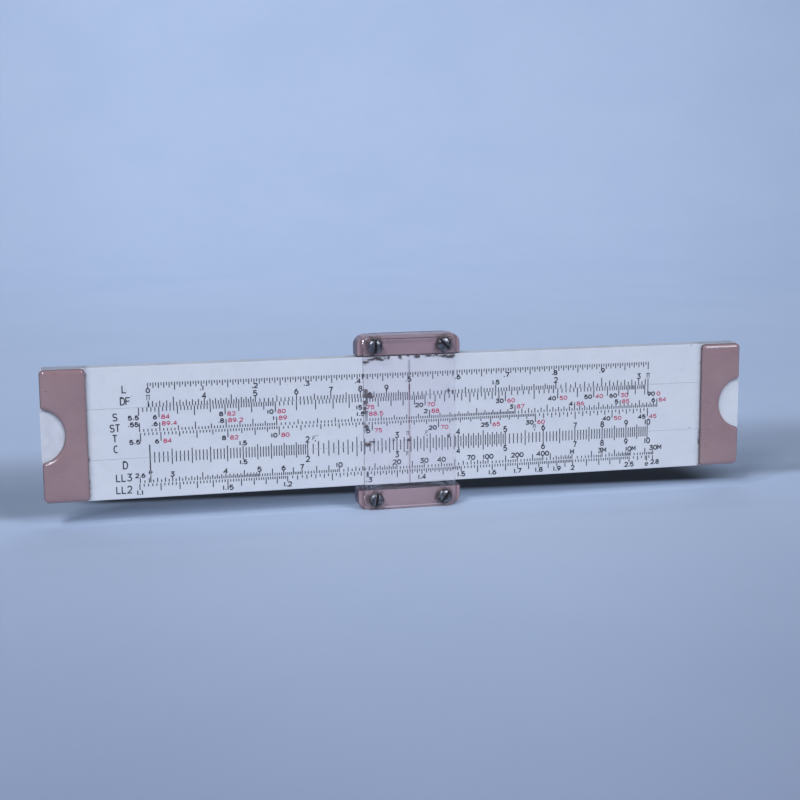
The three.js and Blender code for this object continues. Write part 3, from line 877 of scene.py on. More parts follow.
def make_braces(material):
    """Four braces. The back ones are drilled and countersunk, and the front ones hold the screws' ends."""
    shank = BRACE_SCREW_SHANK_RADIUS + BRACE_SCREW_HOLE_CLEARANCE
    head = BRACE_SCREW_HEAD_RADIUS + BRACE_SCREW_HOLE_CLEARANCE
    relief = BRACE_SEAT + SLIDE_RELIEF
    relief_low = LOWER_SEAM - SLIDE_RELIEF_MARGIN
    relief_high = UPPER_SEAM + SLIDE_RELIEF_MARGIN
    far = 2 * RULE_END
    for end, side in (("left", -1), ("right", 1)):
        back_cutters = [block((-far, 0, relief_low), (far, relief, relief_high))]
        front_cutters = [block((-far, -relief, relief_low), (far, 0, relief_high))]
        for other, _, x, z in brace_screw_places():
            if other != side:
                continue
            back_cutters.append(rod(shank, 0, BRACE_FACE + 1, x, z))
            sink = rod(shank, BRACE_FACE - BRACE_SCREW_HEAD_HEIGHT, BRACE_FACE + 0.02, x, z, head)
            back_cutters.append(sink)
            front_cutters.append(rod(shank, -BRACE_SEAT - BRACE_SCREW_BLIND_DEPTH, 0, x, z))
        for face, sign, cutters in (("back", 1, back_cutters), ("front", -1, front_cutters)):
            data = cut(brace_plate(side, sign), cutters)
            node = f"{end}_{face}_brace"
            piece(f"{node}_plate", data, [material], "frame", [node])


# ---------------------------------------------------------------- cursor


def rounded_box(x0, x1, z0, z1, lower_radius, upper_radius, step=0.16):
    corners = [
        (x0, z0, lower_radius),
        (x1, z0, lower_radius),
        (x1, z1, upper_radius),
        (x0, z1, upper_radius),
    ]
    return rounded(corners, step)


def window_screw_places():
    upper = UPPER_RUNNER[1].z - RUNNER_HALF_HEIGHT
    lower = RUNNER_HALF_HEIGHT
    reach = SCREW_PITCH / 2
    return {
        "upper_left": (CURSOR_X - reach, upper),
        "upper_right": (CURSOR_X + reach, upper),
        "lower_left": (CURSOR_X - reach, lower),
        "lower_right": (CURSOR_X + reach, lower),
    }


def screw_holes(reach, low, high):
    """Cutters for the windows' screws that stand between two heights."""
    places = [(x, z) for x, z in window_screw_places().values() if low < z < high]
    return [rod(SCREW_HOLE_RADIUS, -reach, reach, x, z) for x, z in places]


def make_runners(material):
    """Both runners, drilled for the windows' screws. The lower one has a recess for the spring."""
    width = BACK_WINDOW[0].y - WINDOW_GAP
    rounding = edge_levels(RUNNER_INNER_RADIUS - 0.05, RUNNER_EDGE_ROUND, width)
    levels = [(inset_by, -level) for inset_by, level in reversed(rounding)] + rounding
    for name, node, box, lower_radius, upper_radius in (
        ("upper_runner_block", "upper_runner", UPPER_RUNNER, RUNNER_INNER_RADIUS, RUNNER_OUTER_RADIUS),
        ("lower_runner_block", "lower_runner", LOWER_RUNNER, RUNNER_OUTER_RADIUS, RUNNER_INNER_RADIUS),
    ):
        low, high = box
        outline = rounded_box(low.x, high.x, low.z, high.z, lower_radius, upper_radius)
        data = stacked(outline, levels, on_back)
        cutters = screw_holes(width + 1, low.z, high.z)
        if node == "lower_runner":
            start, end = SPRING[0].x - SPRING_RECESS_END, SPRING[1].x + SPRING_RECESS_END
            floor = SPRING[0].z - SPRING_RECESS_FLOOR
            across = SPRING[1].y + SPRING_RECESS_SIDE
            cutters.append(block((start, -across, floor), (end, across, high.z + 1)))
        piece(name, cut(data, cutters), [material], "cursor", [node])


def make_windows(material, milled):
    """Both panes. Their bevels are milled, and so rougher than the faces."""
    low, high = BACK_WINDOW
    outline = rounded_box(low.x, high.x, low.z, high.z, WINDOW_CORNER_RADIUS, WINDOW_CORNER_RADIUS, 0.1)
    seat_round = 0.08
    bevel_foot = WINDOW_OUTER_Y - WINDOW_BEVEL_DEPTH
    # Each line between the bevel and its neighbours is eased a little.
    levels = [
        (seat_round, WINDOW_INNER_Y),
        (0, WINDOW_INNER_Y + seat_round),
        (0, bevel_foot - 0.06),
        (0.05, bevel_foot),
        (WINDOW_BEVEL_WIDTH, WINDOW_OUTER_Y - 0.02),
        (WINDOW_FACE_INSET, WINDOW_OUTER_Y),
    ]
    for side, place in (("front", on_front), ("back", on_back)):
        holes = screw_holes(WINDOW_OUTER_Y + 1, low.z, high.z)
        window = cut(stacked(outline, levels, place), holes)
        for polygon in window.polygons:
            if 0.1 < abs(polygon.normal.y) < 0.95:
                # The face slopes, so it belongs to the bevel.
                polygon.material_index = 1
        node = f"{side}_window"
        piece(f"{node}_pane", window, [material, milled], "cursor", [node], 25)


def make_spring(material):
    """A bowed leaf with eased edges, standing in the lower runner's recess."""
    low, high = SPRING
    half = (high.x - low.x) / 2
    rise = high.z - low.z - SPRING_THICKNESS
    radius = (half**2 + rise**2) / (2 * rise)
    half_angle = math.asin(half / radius)
    middle = (low.x + high.x) / 2
    start, end = math.pi / 2 - half_angle, math.pi / 2 + half_angle
    outside = arc(middle, high.z - radius, radius, start, end, 0.5)
    inside = arc(middle, high.z - radius, radius - SPRING_THICKNESS, end, start, 0.5)
    edge = 0.05
    width = high.y
    levels = [(edge, -width), (0, -width + edge), (0, width - edge), (edge, width)]
    data = stacked(outside + inside, levels, on_back)
    piece("tension_spring_leaf", data, [material], "cursor", ["tension_spring"])


# ---------------------------------------------------------------- screws


def thread_rows(radius, depth, pitch, low, high):
    """Rows of a threaded shank: the radius falls and rises once each turn along a helix."""
    rows = []
    per_turn = 6
    count = round((high - low) / pitch * per_turn)
    for index in range(count + 1):
        height = low + (high - low) * index / count

        def reach(angle, height=height):
            phase = (height / pitch - angle / (2 * math.pi)) % 1
            fade = min(1, (high - height) / pitch)
            return radius - depth * fade * (1 - abs(2 * phase - 1))

        rows.append((reach, height))
    return rows


def slotted(head, half_width, floor, turn):
    """Cuts the driver's slot across a head, gives its walls the second material, and turns the screw."""
    reach = 3
    data = cut(head, [block((-half_width, -reach, floor), (half_width, reach, reach))])
    near = 1e-3
    for polygon in data.polygons:
        if abs(polygon.center.x) < half_width + near and polygon.center.z > floor - near:
            polygon.material_index = 1
    data.transform(Matrix.Rotation(turn, 4, "Z"))
    return data


def round_head_screw(turn):
    """A slotted round-head screw at the origin: the head stands on z = 0 and the shank hangs below."""
    neck = SCREW_SHANK_RADIUS
    rows = [(0, -SCREW_REACH), (neck * 0.55, -SCREW_REACH)]
    rows += thread_rows(neck, SCREW_THREAD_DEPTH, SCREW_THREAD_PITCH, -SCREW_REACH + 0.2, -0.25)
    rows += [(neck, -0.2), (neck, 0.0), (SCREW_HEAD_RADIUS - 0.06, 0.0), (SCREW_HEAD_RADIUS, 0.06)]
    rows.append((SCREW_HEAD_RADIUS, SCREW_RIM_HEIGHT - 0.05))
    steps = 9
    for step in range(steps):
        angle = math.pi / 2 * step / steps
        reach = (SCREW_HEAD_RADIUS - 0.02) * math.cos(angle)
        rows.append((reach, SCREW_RIM_HEIGHT + SCREW_DOME_HEIGHT * math.sin(angle)))
    top = SCREW_RIM_HEIGHT + SCREW_DOME_HEIGHT
    rows.append((0, top))
    return slotted(turned(rows, 40), SCREW_SLOT_HALF, top - SCREW_SLOT_DEPTH, turn)


def countersunk_screw(turn, length):
    """A slotted countersunk screw at the origin: its face is z = 0 and the rest hangs below."""
    neck = BRACE_SCREW_SHANK_RADIUS
    taper = BRACE_SCREW_HEAD_HEIGHT - BRACE_SCREW_SUNK
    rows = [(0, -length), (neck * 0.6, -length)]
    depth, pitch = BRACE_SCREW_THREAD_DEPTH, BRACE_SCREW_THREAD_PITCH
    rows += thread_rows(neck, depth, pitch, -length + 0.2, -taper - 0.3)
    rows += [(neck, -taper - 0.2), (neck, -taper), (BRACE_SCREW_HEAD_RADIUS, -0.08)]
    rows += [(BRACE_SCREW_HEAD_RADIUS, -0.04), (BRACE_SCREW_HEAD_RADIUS - 0.05, 0.0), (0.7, 0.0), (0, 0.0)]
    return slotted(turned(rows, 32), BRACE_SCREW_SLOT_HALF, -BRACE_SCREW_SLOT_DEPTH, turn)


def make_window_screws(material, dirt):
    for side, sign in (("front", -1), ("back", 1)):
        for place, (x, z) in window_screw_places().items():
            name = f"{side}_{place}_screw"
            stand = Matrix.Rotation(-sign * math.pi / 2, 4, "X")
            data = round_head_screw(SLOT_TURNS[f"{side}_{place}"])
            data.transform(Matrix.Translation((x, sign * SCREW_SEAT, z)) @ stand)
            piece(f"{name}_turned", data, [material, dirt], "cursor", [name])


def make_brace_screws(material, dirt):
    for index, (_, name, x, z) in enumerate(brace_screw_places()):
        low, high = box_mm(name)
        # Each slot was left at an angle of its own.
        turn = index * 1.3 + 0.4
        data = countersunk_screw(turn, high.y - low.y)
        data.transform(Matrix.Translation((x, high.y, z)) @ Matrix.Rotation(-math.pi / 2, 4, "X"))
        piece(f"{name}_turned", data, [material, dirt], "frame", [name])


# ---------------------------------------------------------------- engraved marks

DECADE = 125.0
INDEX_X = -DECADE / 2
TICK_WIDTH = 0.23
INDEX_WIDTH = 0.28
MARK_SUNK = 0.03
MARK_PROUD = 0.012
NUMERAL_STROKE = 0.275
FINE_STROKE = 0.215
GAUGE_STROKE = 0.12
LABEL_STROKE = 0.27


def bow(x, y, across, up, start, end):
    """Points along part of an ellipse, with its angles in degrees."""
    steps = max(3, round(abs(end - start) / 28))
    angles = [math.radians(start + (end - start) * step / steps) for step in range(steps + 1)]
    return [(x + across * math.cos(a), y + up * math.sin(a)) for a in angles]


def upside_down(strokes):
    return [[(1 - x, 1 - y) for x, y in stroke] for stroke in strokes]


# Single-line characters in a box one wide and one high.
SIX = [bow(0.92, 0.33, 0.88, 0.66, 100, 180), bow(0.5, 0.31, 0.46, 0.31, 180, 540)]
GLYPHS = {
    "0": [bow(0.5, 0.5, 0.5, 0.5, 90, 450)],
    "1": [[(0.5, 0), (0.5, 1)]],
    "2": [bow(0.5, 0.7, 0.46, 0.3, 165, -35) + [(0.02, 0), (1, 0)]],
    "3": [[(0.05, 1), (0.92, 1), (0.42, 0.6)] + bow(0.45, 0.3, 0.5, 0.3, 70, -155)],
    "4": [[(0.74, 0), (0.74, 1), (0, 0.3), (1, 0.3)]],
    "5": [[(0.9, 1), (0.16, 1), (0.08, 0.54)] + bow(0.46, 0.32, 0.5, 0.32, 130, -150)],
    "6": SIX,
    "7": [[(0, 1), (0.96, 1), (0.36, 0)]],
    "8": [bow(0.5, 0.77, 0.38, 0.23, 90, 450), bow(0.5, 0.27, 0.48, 0.27, 90, 450)],
    "9": upside_down(SIX),
    ".": [[(0.5, -0.02), (0.5, 0.2)]],
    "e": [[(0.06, 0.5), (0.94, 0.5)] + bow(0.5, 0.5, 0.45, 0.5, 0, 310)],
    "π": [[(0, 1), (1, 1)], [(0.27, 1), (0.2, 0)], [(0.73, 1), (0.8, 0)]],
    "ρ": [bow(0.56, 0.6, 0.36, 0.38, 200, 560), [(0.24, 0.5), (0.02, -0.3)]],
    "'": [[(0.5, 1.2), (0.3, 0.85)]],
    "A": [[(0, 0), (0.5, 1), (1, 0)], [(0.2, 0.36), (0.8, 0.36)]],
    "B": [
        [(0, 0.53), (0, 1), (0.5, 1)] + bow(0.5, 0.765, 0.38, 0.235, 90, -90) + [(0, 0.53)],
        [(0, 0), (0, 0.53), (0.5, 0.53)] + bow(0.5, 0.265, 0.46, 0.265, 90, -90) + [(0, 0)],
    ],
    "C": [bow(0.5, 0.5, 0.48, 0.5, 52, 308)],
    "D": [[(0, 0), (0, 1), (0.45, 1)] + bow(0.45, 0.5, 0.5, 0.5, 90, -90) + [(0, 0)]],
    "F": [[(0, 0), (0, 1), (0.92, 1)], [(0, 0.52), (0.78, 0.52)]],
    "I": [[(0.5, 0), (0.5, 1)]],
    "K": [[(0, 0), (0, 1)], [(0.95, 1), (0, 0.38)], [(0.34, 0.6), (1, 0)]],
    "L": [[(0, 1), (0, 0), (0.88, 0)]],
    "M": [[(0, 0), (0, 1), (0.5, 0.4), (1, 1), (1, 0)]],
    "R": [
        [(0, 0), (0, 1), (0.5, 1)] + bow(0.5, 0.75, 0.42, 0.25, 90, -90) + [(0, 0.5)],
        [(0.5, 0.5), (1, 0)],
    ],
    "S": [bow(0.5, 0.75, 0.44, 0.25, 25, 270) + bow(0.5, 0.25, 0.46, 0.25, 90, -155)],
    "T": [[(0, 1), (1, 1)], [(0.5, 1), (0.5, 0)]],
}
NARROW = {"1": 0.45, ".": 0.3, "I": 0.45, "'": 0.3}


def on_front_face(u, v, proud):
    """A mark's place on the front: u from the left index, v up from the lower seam."""
    return Vector((INDEX_X + u, -FACE_Y - proud, LOWER_SEAM + v))


def on_back_face(u, v, proud):
    """The same on the back, which reads upright when the rule is flipped about its long axis."""
    return Vector((INDEX_X + u, FACE_Y + proud, UPPER_SEAM - v))


class MarkSheet:
    """The marks of one colour on one body and face: thin solid strokes that stand just proud of it."""

    def __init__(self, name, body, place):
        self.name = name
        self.body = body
        self.place = place
        self.points = []
        self.faces = []
        self.strokes = 0

    def stroke(self, line, width):
        """A ribbon along a line. A line that ends where it starts is closed."""
        closed = len(line) > 2 and math.dist(line[0], line[-1]) < 1e-6
        if closed:
            line = line[:-1]
        count = len(line)
        vectors = [Vector(point) for point in line]
        # Each stroke differs a little in height, so that strokes that cross share no plane.
        self.strokes += 1
        proud = MARK_PROUD + 0.0006 * (self.strokes % 5)
        start = len(self.points)
        for index, here in enumerate(vectors):
            before = vectors[index - 1] if index or closed else None
            after = vectors[(index + 1) % count] if index + 1 < count or closed else None
            into = (here - before).normalized() if before is not None else None
            out = (after - here).normalized() if after is not None else None
            along = ((into or out) + (out or into)).normalized()
            across = Vector((-along.y, along.x))
            lean = across.dot(Vector((-(out or into).y, (out or into).x)))
            reach = width / 2 / max(lean, 0.45)
            for offset, level in ((1, proud), (-1, proud), (-1, -MARK_SUNK), (1, -MARK_SUNK)):
                side = here + across * reach * offset
                self.points.append(self.place(side.x, side.y, level))
        spans = count if closed else count - 1
        for index in range(spans):
            near = start + 4 * index
            far = start + 4 * ((index + 1) % count)
            for corner in range(4):
                after = (corner + 1) % 4
                self.faces.append((near + corner, near + after, far + after, far + corner))
        if not closed:
            self.faces.append(tuple(start + corner for corner in range(4)))
            last = start + 4 * (count - 1)
            self.faces.append(tuple(last + corner for corner in range(4)))

    def tick(self, u, v0, v1, width=TICK_WIDTH):
        self.stroke([(u, v0), (u, v1)], width)

    def write(self, text, u, v, height, width, gap, stroke=NUMERAL_STROKE, align=0.0):
        """Writes text with its middle height at v. It ends at u, is centred there or starts there,
        for an align of -1, 0 or 1."""
        widths = [width * NARROW.get(letter, 1) for letter in text]
        total = sum(widths) + gap * (len(text) - 1)
        left = u + total * (align - 1) / 2
        for letter, wide in zip(text, widths):
            for line in GLYPHS[letter]:
                placed = [(left + x * wide, v + (y - 0.5) * height) for x, y in line]
                if len(line) == 2 and line[0][0] == line[1][0] and wide < width:
                    placed = [(left + wide / 2, y) for _, y in placed]
                self.stroke(placed, stroke)
            left += wide + gap

    def make(self, material):
        if not self.points:
            return
        mesh = bmesh.new()
        vertices = [mesh.verts.new(point) for point in self.points]
        for face in self.faces:
            mesh.faces.new([vertices[index] for index in face])
        bmesh.ops.recalc_face_normals(mesh, faces=mesh.faces)
        data = mesh_data(self.name, mesh)
        data.transform(Matrix.Scale(MM, 4))
        data.materials.append(material)
        made = added(self.name, data)
        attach(made, self.body)


class Scale:
    """One scale: where a value lies, where its graduations start, and which way they grow."""

    def __init__(self, sheet, place, base, up, lengths):
        self.sheet = sheet
        self.place = place
        self.base = base
        self.up = up
        self.short, self.medium, self.long, self.labelled = lengths

    def graduate(self, spans, labelled=()):
        """Spans are (first, last, step, multiple with a medium line, multiple with a long line)."""
        named = {round(value, 6) for value in labelled}
        done = set()
        for first, last, step, medium, long in spans:
            for index in range(round((last - first) / step) + 1):
                value = round(first + index * step, 6)
                if value in done:
                    continue
                done.add(value)
                if value in named:
                    length = self.labelled
                elif is_multiple(value, long):
                    length = self.long
                elif is_multiple(value, medium):
                    length = self.medium
                else:
                    length = self.short
                self.line(value, length)

    def line(self, value, length, width=TICK_WIDTH):
        u = self.place(value)
        self.sheet.tick(u, self.base, self.base + self.up * length, width)

    def number(self, value, text, v, height, width, gap=0.27, shift=0.0):
        self.sheet.write(text, self.place(value) + shift, v, height, width, gap)

    def angles(self, red_sheet, v, rows):
        """Labels beside their lines: (value, black text, red text)."""
        for value, black, red in rows:
            u = self.place(value)
            self.sheet.write(black, u - SIDE_GAP, v, *ANGLE_TEXT, align=-1)
            if red:
                red_sheet.write(red, u + SIDE_GAP, v, *ANGLE_TEXT, FINE_STROKE, 1)


SIDE_GAP = 0.55
# Height, width and gap of the characters: angles beside their lines, scale names, and numbers.
ANGLE_TEXT = (0.9, 0.8, 0.27)
LABEL_TEXT = (1.66, 1.02, 0.24)
NUMBER_HEIGHT = 1.05
NUMBER_WIDTH = 0.85


def is_multiple(value, step):
    if not step:
        return False
    return abs(value / step - round(value / step)) < 1e-4


def linear(value):
    return DECADE * value


def log_once(value):
    return DECADE * math.log10(value)


def log_twice(value):
    return DECADE / 2 * math.log10(value)


def log_thrice(value):
    return DECADE / 3 * math.log10(value)


def log_inverted(value):
    return DECADE * (1 - math.log10(value))


def log_folded(value):
    return DECADE * (math.log10(value / math.pi) % 1)


def sine(value):
    return DECADE * math.log10(10 * math.sin(math.radians(value)))


def small_sine(value):
    return DECADE * math.log10(100 * math.radians(value))


def tangent(value):
    return DECADE * math.log10(10 * math.tan(math.radians(value)))


def log_log_3(value):
    return DECADE * math.log10(math.log(value))


def log_log_2(value):
    return DECADE * math.log10(10 * math.log(value))


DECADE_SPANS = [(1, 2, 0.02, 0.1, 0), (2, 5, 0.05, 0.1, 0.5), (5, 10, 0.1, 0.5, 0)]


def label(sheet, text, u, v):
    sheet.write(text, u, v, *LABEL_TEXT, LABEL_STROKE)


def mark_upper_front(black):
    """The L and DF scales, on the upper stator."""
    for text, u, v in (("L", -5.4, 16.5), ("DF", -5.25, 13.65)):
        label(black, text, u, v)
    scale = Scale(black, linear, 17.8, -1, (0.75, 1.3, 1.9, 1.3))
    scale.graduate([(0, 1, 0.005, 0.01, 0.05)], [0.1 * tenth for tenth in range(10)])
    black.write("0", linear(0), 15.95, 0.95, 0.8, 0.2)
    for tenth in range(1, 10):
        black.write(f".{tenth}", linear(0.1 * tenth) + 0.12, 16.07, NUMBER_HEIGHT, NUMBER_WIDTH, 0.25)
    scale = Scale(black, log_folded, 12.05, 1, (0.9, 1.4, 2.2, 1.55))
    spans = [(3.15, 5, 0.05, 0.1, 0.5), (5, 10, 0.1, 0.5, 0), (1, 2, 0.02, 0.1, 0), (2, 3.1, 0.05, 0.1, 0.5)]
    scale.graduate(spans, [1, 1.5, 2, 3, 4, 5, 6, 7, 8, 9])
    for value in (1, 2, 3, 4, 5, 6, 7, 8, 9):
        scale.number(value, str(value), 14.22, 1.25, 0.85)
    scale.number(1.5, "1.5", 14.3, 0.95, 0.75, 0.22)
    for u in (0, DECADE):
        black.tick(u, 12.05, 13.6)
        black.write("π", u, 14.3, 1.1, 1.0, 0.2, 0.18)


def mark_slide_front(black, red):
    """The S, ST, T and C scales, on the slide."""
    for text, u, v in (("S", -7.8, 9.95), ("ST", -7.9, 7.36), ("T", -8.0, 4.87), ("C", -7.8, 2.37)):
        label(black, text, u, v)
    shared = [(6, "6", "84"), (8, "8", "82"), (10, "10", "80"), (15, "15", "75"), (20, "20", "70")]
    shared += [(30, "30", "60"), (40, "40", "50")]

    scale = Scale(black, sine, 11.95, -1, (1.0, 1.8, 2.3, 2.45))
    spans = [(5.5, 10, 0.1, 0.5, 1), (10, 20, 0.2, 0, 1), (20, 30, 0.5, 1, 5)]
    spans += [(30, 70, 1, 0, 5), (70, 80, 2, 0, 10), (80, 90, 10, 0, 10)]
    scale.graduate(spans, [6, 8, 10, 15, 20, 30, 40, 50, 60])
    scale.angles(red, 9.6, [*shared, (50, "50", "40"), (60, "60", "30")])
    black.write("5.5", -3.55, 9.6, *ANGLE_TEXT)
    black.write("90", DECADE - 0.05, 9.6, *ANGLE_TEXT, align=1)
    red.write("0", DECADE + 2.5, 9.6, *ANGLE_TEXT, FINE_STROKE, 1)

    scale = Scale(black, small_sine, 6.22, 1, (0.65, 1.2, 1.85, 2.1))
    spans = [(0.55, 1, 0.01, 0.05, 0.1), (1, 3, 0.02, 0.1, 0.5), (3, 6, 0.05, 0.1, 0.5)]
    rows = [(0.6, ".6", "89.4"), (0.8, ".8", "89.2"), (1, "1", "89"), (1.5, "1.5", "88.5"), (2, "2", "88")]
    rows += [(3, "3", "87"), (4, "4", "86"), (5, "5", "85"), (6, "6", "84")]
    scale.graduate(spans, [0.55, *(row[0] for row in rows)])
    scale.angles(red, 8.0, rows)
    black.write(".55", -3.65, 8.0, *ANGLE_TEXT)

    scale = Scale(black, tangent, 5.98, -1, (0.65, 1.2, 1.85, 2.1))
    spans = [(5.5, 10, 0.1, 0.5, 1), (10, 30, 0.2, 1, 5), (30, 45, 0.5, 1, 5)]
    rows = [*shared, (25, "25", "65"), (45, "45", "45")]
    scale.graduate(spans, [5.5, *(row[0] for row in rows)])
    scale.angles(red, 3.82, rows)
    black.write("5.5", -3.42, 3.82, *ANGLE_TEXT)

    scale = Scale(black, log_once, 0.06, 1, (1.2, 1.8, 2.35, 1.62))
    decade_scale(scale, 2.42, 1.3)
    gauges = ((2.063, "ρ''", 2.8), (3.438, "ρ'", 2.8), (math.pi, "π", 2.75), (5.73, "R", 2.75))
    for value, text, v in gauges:
        black.write(text, log_once(value) + 0.2, v, 0.85, 0.7, 0.2, GAUGE_STROKE)
    for value in (2.063, 3.438, 5.73):
        black.tick(log_once(value) + 0.2, 1.75, 2.15)


def decade_scale(scale, v, height):
    """A plain scale from 1 to 10, with a tall line at its left index and numbers between."""
    scale.graduate(DECADE_SPANS, [1.5, 2, 3, 4, 5, 6, 7, 8, 9, 10])
    scale.line(1, 3.0, INDEX_WIDTH)
    for value in range(2, 11):
        scale.number(value, str(value), v, height, 0.8)
    scale.number(1.5, "1.5", v - 0.1 * scale.up, 0.95, 0.75, 0.22)


def mark_lower_front(black):
    """The D, LL3 and LL2 scales, on the lower stator."""
    for text, u, v in (("D", -5.75, -1.57), ("LL3", -6.2, -4.55), ("LL2", -6.25, -7.43)):
        label(black, text, u, v)
    scale = Scale(black, log_once, -0.06, -1, (1.2, 1.8, 2.35, 1.62))
    decade_scale(scale, -2.38, 1.3)
    black.write("π", log_once(math.pi), -2.3, 0.9, 0.7, 0.2, 0.13)

    scale = Scale(black, log_log_3, -6.03, 1, (0.65, 1.05, 1.75, 1.15))
    spans = [(2.6, 5, 0.05, 0.1, 0.5), (5, 7, 0.1, 0, 0.5), (7, 10, 0.2, 0, 1), (10, 20, 0.5, 1, 5)]
    spans += [(20, 30, 1, 0, 5), (30, 50, 2, 0, 10), (50, 100, 5, 10, 50), (100, 200, 10, 0, 50)]
    spans += [(200, 400, 20, 0, 100), (400, 1000, 50, 100, 500), (1000, 3000, 200, 0, 1000)]
    spans += [(3000, 10000, 500, 1000, 5000), (10000, 30000, 2000, 0, 10000)]
    plain = [3, 4, 5, 6, 7, 10, 20, 30, 40, 70, 100, 200, 400]
    scale.graduate(spans, [2.6, *plain, 1000, 3000, 10000, 30000])
    for value in plain:
        scale.number(value, str(value), -4.27, NUMBER_HEIGHT, NUMBER_WIDTH)
    for value, text in ((1000, "M"), (3000, "3M"), (10000, "10M")):
        scale.number(value, text, -4.27, NUMBER_HEIGHT, NUMBER_WIDTH)
    black.write("30M", DECADE + 0.75, -4.27, NUMBER_HEIGHT, NUMBER_WIDTH, 0.27, align=1)
    black.write("2.6", log_log_3(2.6) + 0.05, -4.22, 0.95, 0.75, 0.24)
    scale.line(math.e, 1.75)
    black.write("e", 0, -3.6, 0.8, 0.8, 0.2, FINE_STROKE)

    scale = Scale(black, log_log_2, -6.27, -1, (0.65, 1.05, 1.75, 1.4))
    spans = [(1.1, 1.2, 0.002, 0, 0.01), (1.2, 1.5, 0.005, 0.01, 0.05), (1.5, 2, 0.01, 0, 0.05)]
    spans += [(2, 2.5, 0.02, 0, 0.1), (2.5, 2.8, 0.05, 0.1, 0)]
    plain = [1.1, 1.15, 1.2, 1.3, 1.4, 1.5, 1.6, 1.7, 1.8, 1.9, 2, 2.5]
    scale.graduate(spans, [*plain, 2.8])
    for value in plain:
        scale.number(value, f"{value:g}", -8.3, NUMBER_HEIGHT, NUMBER_WIDTH, 0.22)
    scale.line(math.e, 1.4)
    black.write("e", DECADE, -8.5, 0.85, 0.85, 0.2, FINE_STROKE)
    black.write("2.8", DECADE + 1.2, -8.0, 1.0, 0.72, 0.2, align=1)


SLIDE_HEIGHT = UPPER_SEAM - LOWER_SEAM


def repeated(powers, rows):
    """Graduation spans given for 1 to 10, repeated at each power of ten."""
    return [tuple(power * value for value in row) for power in powers for row in rows]


def mark_back(upper, slide, slide_red, lower, lower_red):
    """The back, flipped: A and K above, B, CI and C on the slide, D and DI below."""
    digits = list(range(1, 10))
    once = [*digits, 10]
    twice = [*digits, *(10 * digit for digit in digits), 100]
    thrice = [*twice, *(100 * digit for digit in digits[1:]), 1000]
    two_decades = repeated((1, 10), ((1, 2, 0.05, 0.1, 0.5), (2, 5, 0.1, 0.5, 0), (5, 10, 0.2, 1, 0)))
    three_decades = repeated((1, 10, 100), ((1, 3, 0.1, 0.5, 0), (3, 6, 0.2, 1, 0), (6, 10, 0.5, 1, 0)))
    tall, plain, inverted = (0.9, 1.4, 1.9, 1.5), (0.9, 1.4, 1.9, 1.4), (0.8, 1.25, 1.7, 1.25)
    top = SLIDE_HEIGHT
    # Name, sheet, rule for a value's place, base, direction, line lengths, spans, numbered values, the
    # numbers' height and the label's height.
    rows = (
        ("A", upper, log_twice, top + 0.06, 1, tall, two_decades, twice, top + 2.25, top + 1.4),
        ("K", upper, log_thrice, top + 4.6, 1, tall, three_decades, thrice, top + 6.75, top + 5.6),
        ("B", slide, log_twice, top - 0.06, -1, tall, two_decades, twice, top - 2.25, top - 1.5),
        ("CI", slide_red, log_inverted, 4.6, 1, inverted, DECADE_SPANS, once, 6.5, 5.6),
        ("C", slide, log_once, 0.06, 1, plain, DECADE_SPANS, once, 2.15, 1.5),
        ("D", lower, log_once, -0.06, -1, plain, DECADE_SPANS, once, -2.15, -1.5),
        ("DI", lower_red, log_inverted, -7.4, 1, inverted, DECADE_SPANS, once, -5.5, -6.3),
    )
    for _, sheet, place, base, up, lengths, spans, values, v, _ in rows:
        scale = Scale(sheet, place, base, up, lengths)
        scale.graduate(spans, [*values, 1.5] if values is once else values)
        for value in values:
            scale.number(value, f"{value:g}"[0], v, NUMBER_HEIGHT, 0.8)
    for name, sheet, *_, v in rows:
        label(sheet, name, -5.5 - 0.2 * len(name), v)


def make_marks(black_ink, red_ink):
    sheets = {}
    for side, place in (("front", on_front_face), ("back", on_back_face)):
        for part, body in (("upper_stator", "frame"), ("slide", "slide"), ("lower_stator", "frame")):
            for colour in ("black", "red"):
                sheets[side, part, colour] = MarkSheet(f"{part}_{side}_{colour}_marks", body, place)
    mark_upper_front(sheets["front", "upper_stator", "black"])
    mark_slide_front(sheets["front", "slide", "black"], sheets["front", "slide", "red"])
    mark_lower_front(sheets["front", "lower_stator", "black"])
    # Flipped, the lower stator is on top.
    mark_back(
        sheets["back", "lower_stator", "black"],
        sheets["back", "slide", "black"],
        sheets["back", "slide", "red"],
        sheets["back", "upper_stator", "black"],
        sheets["back", "upper_stator", "red"],
    )
    for (_, _, colour), sheet in sheets.items():
        sheet.make(black_ink if colour == "black" else red_ink)


# ---------------------------------------------------------------- hairlines and grime


def make_hairlines(material):
    """A fine red line let into the inner face of each window."""
    width = 0.1
    low, high = RULE_BOTTOM + 0.15, RULE_TOP - 1.0
    for side, sign in (("front", -1), ("back", 1)):
        near, far = sorted((sign * (WINDOW_INNER_Y - 0.02), sign * (WINDOW_INNER_Y + 0.015)))
        data = block((CURSOR_X - width / 2, near, low), (CURSOR_X + width / 2, far, high))
        piece(f"{side}_hairline", data, [material], "cursor")


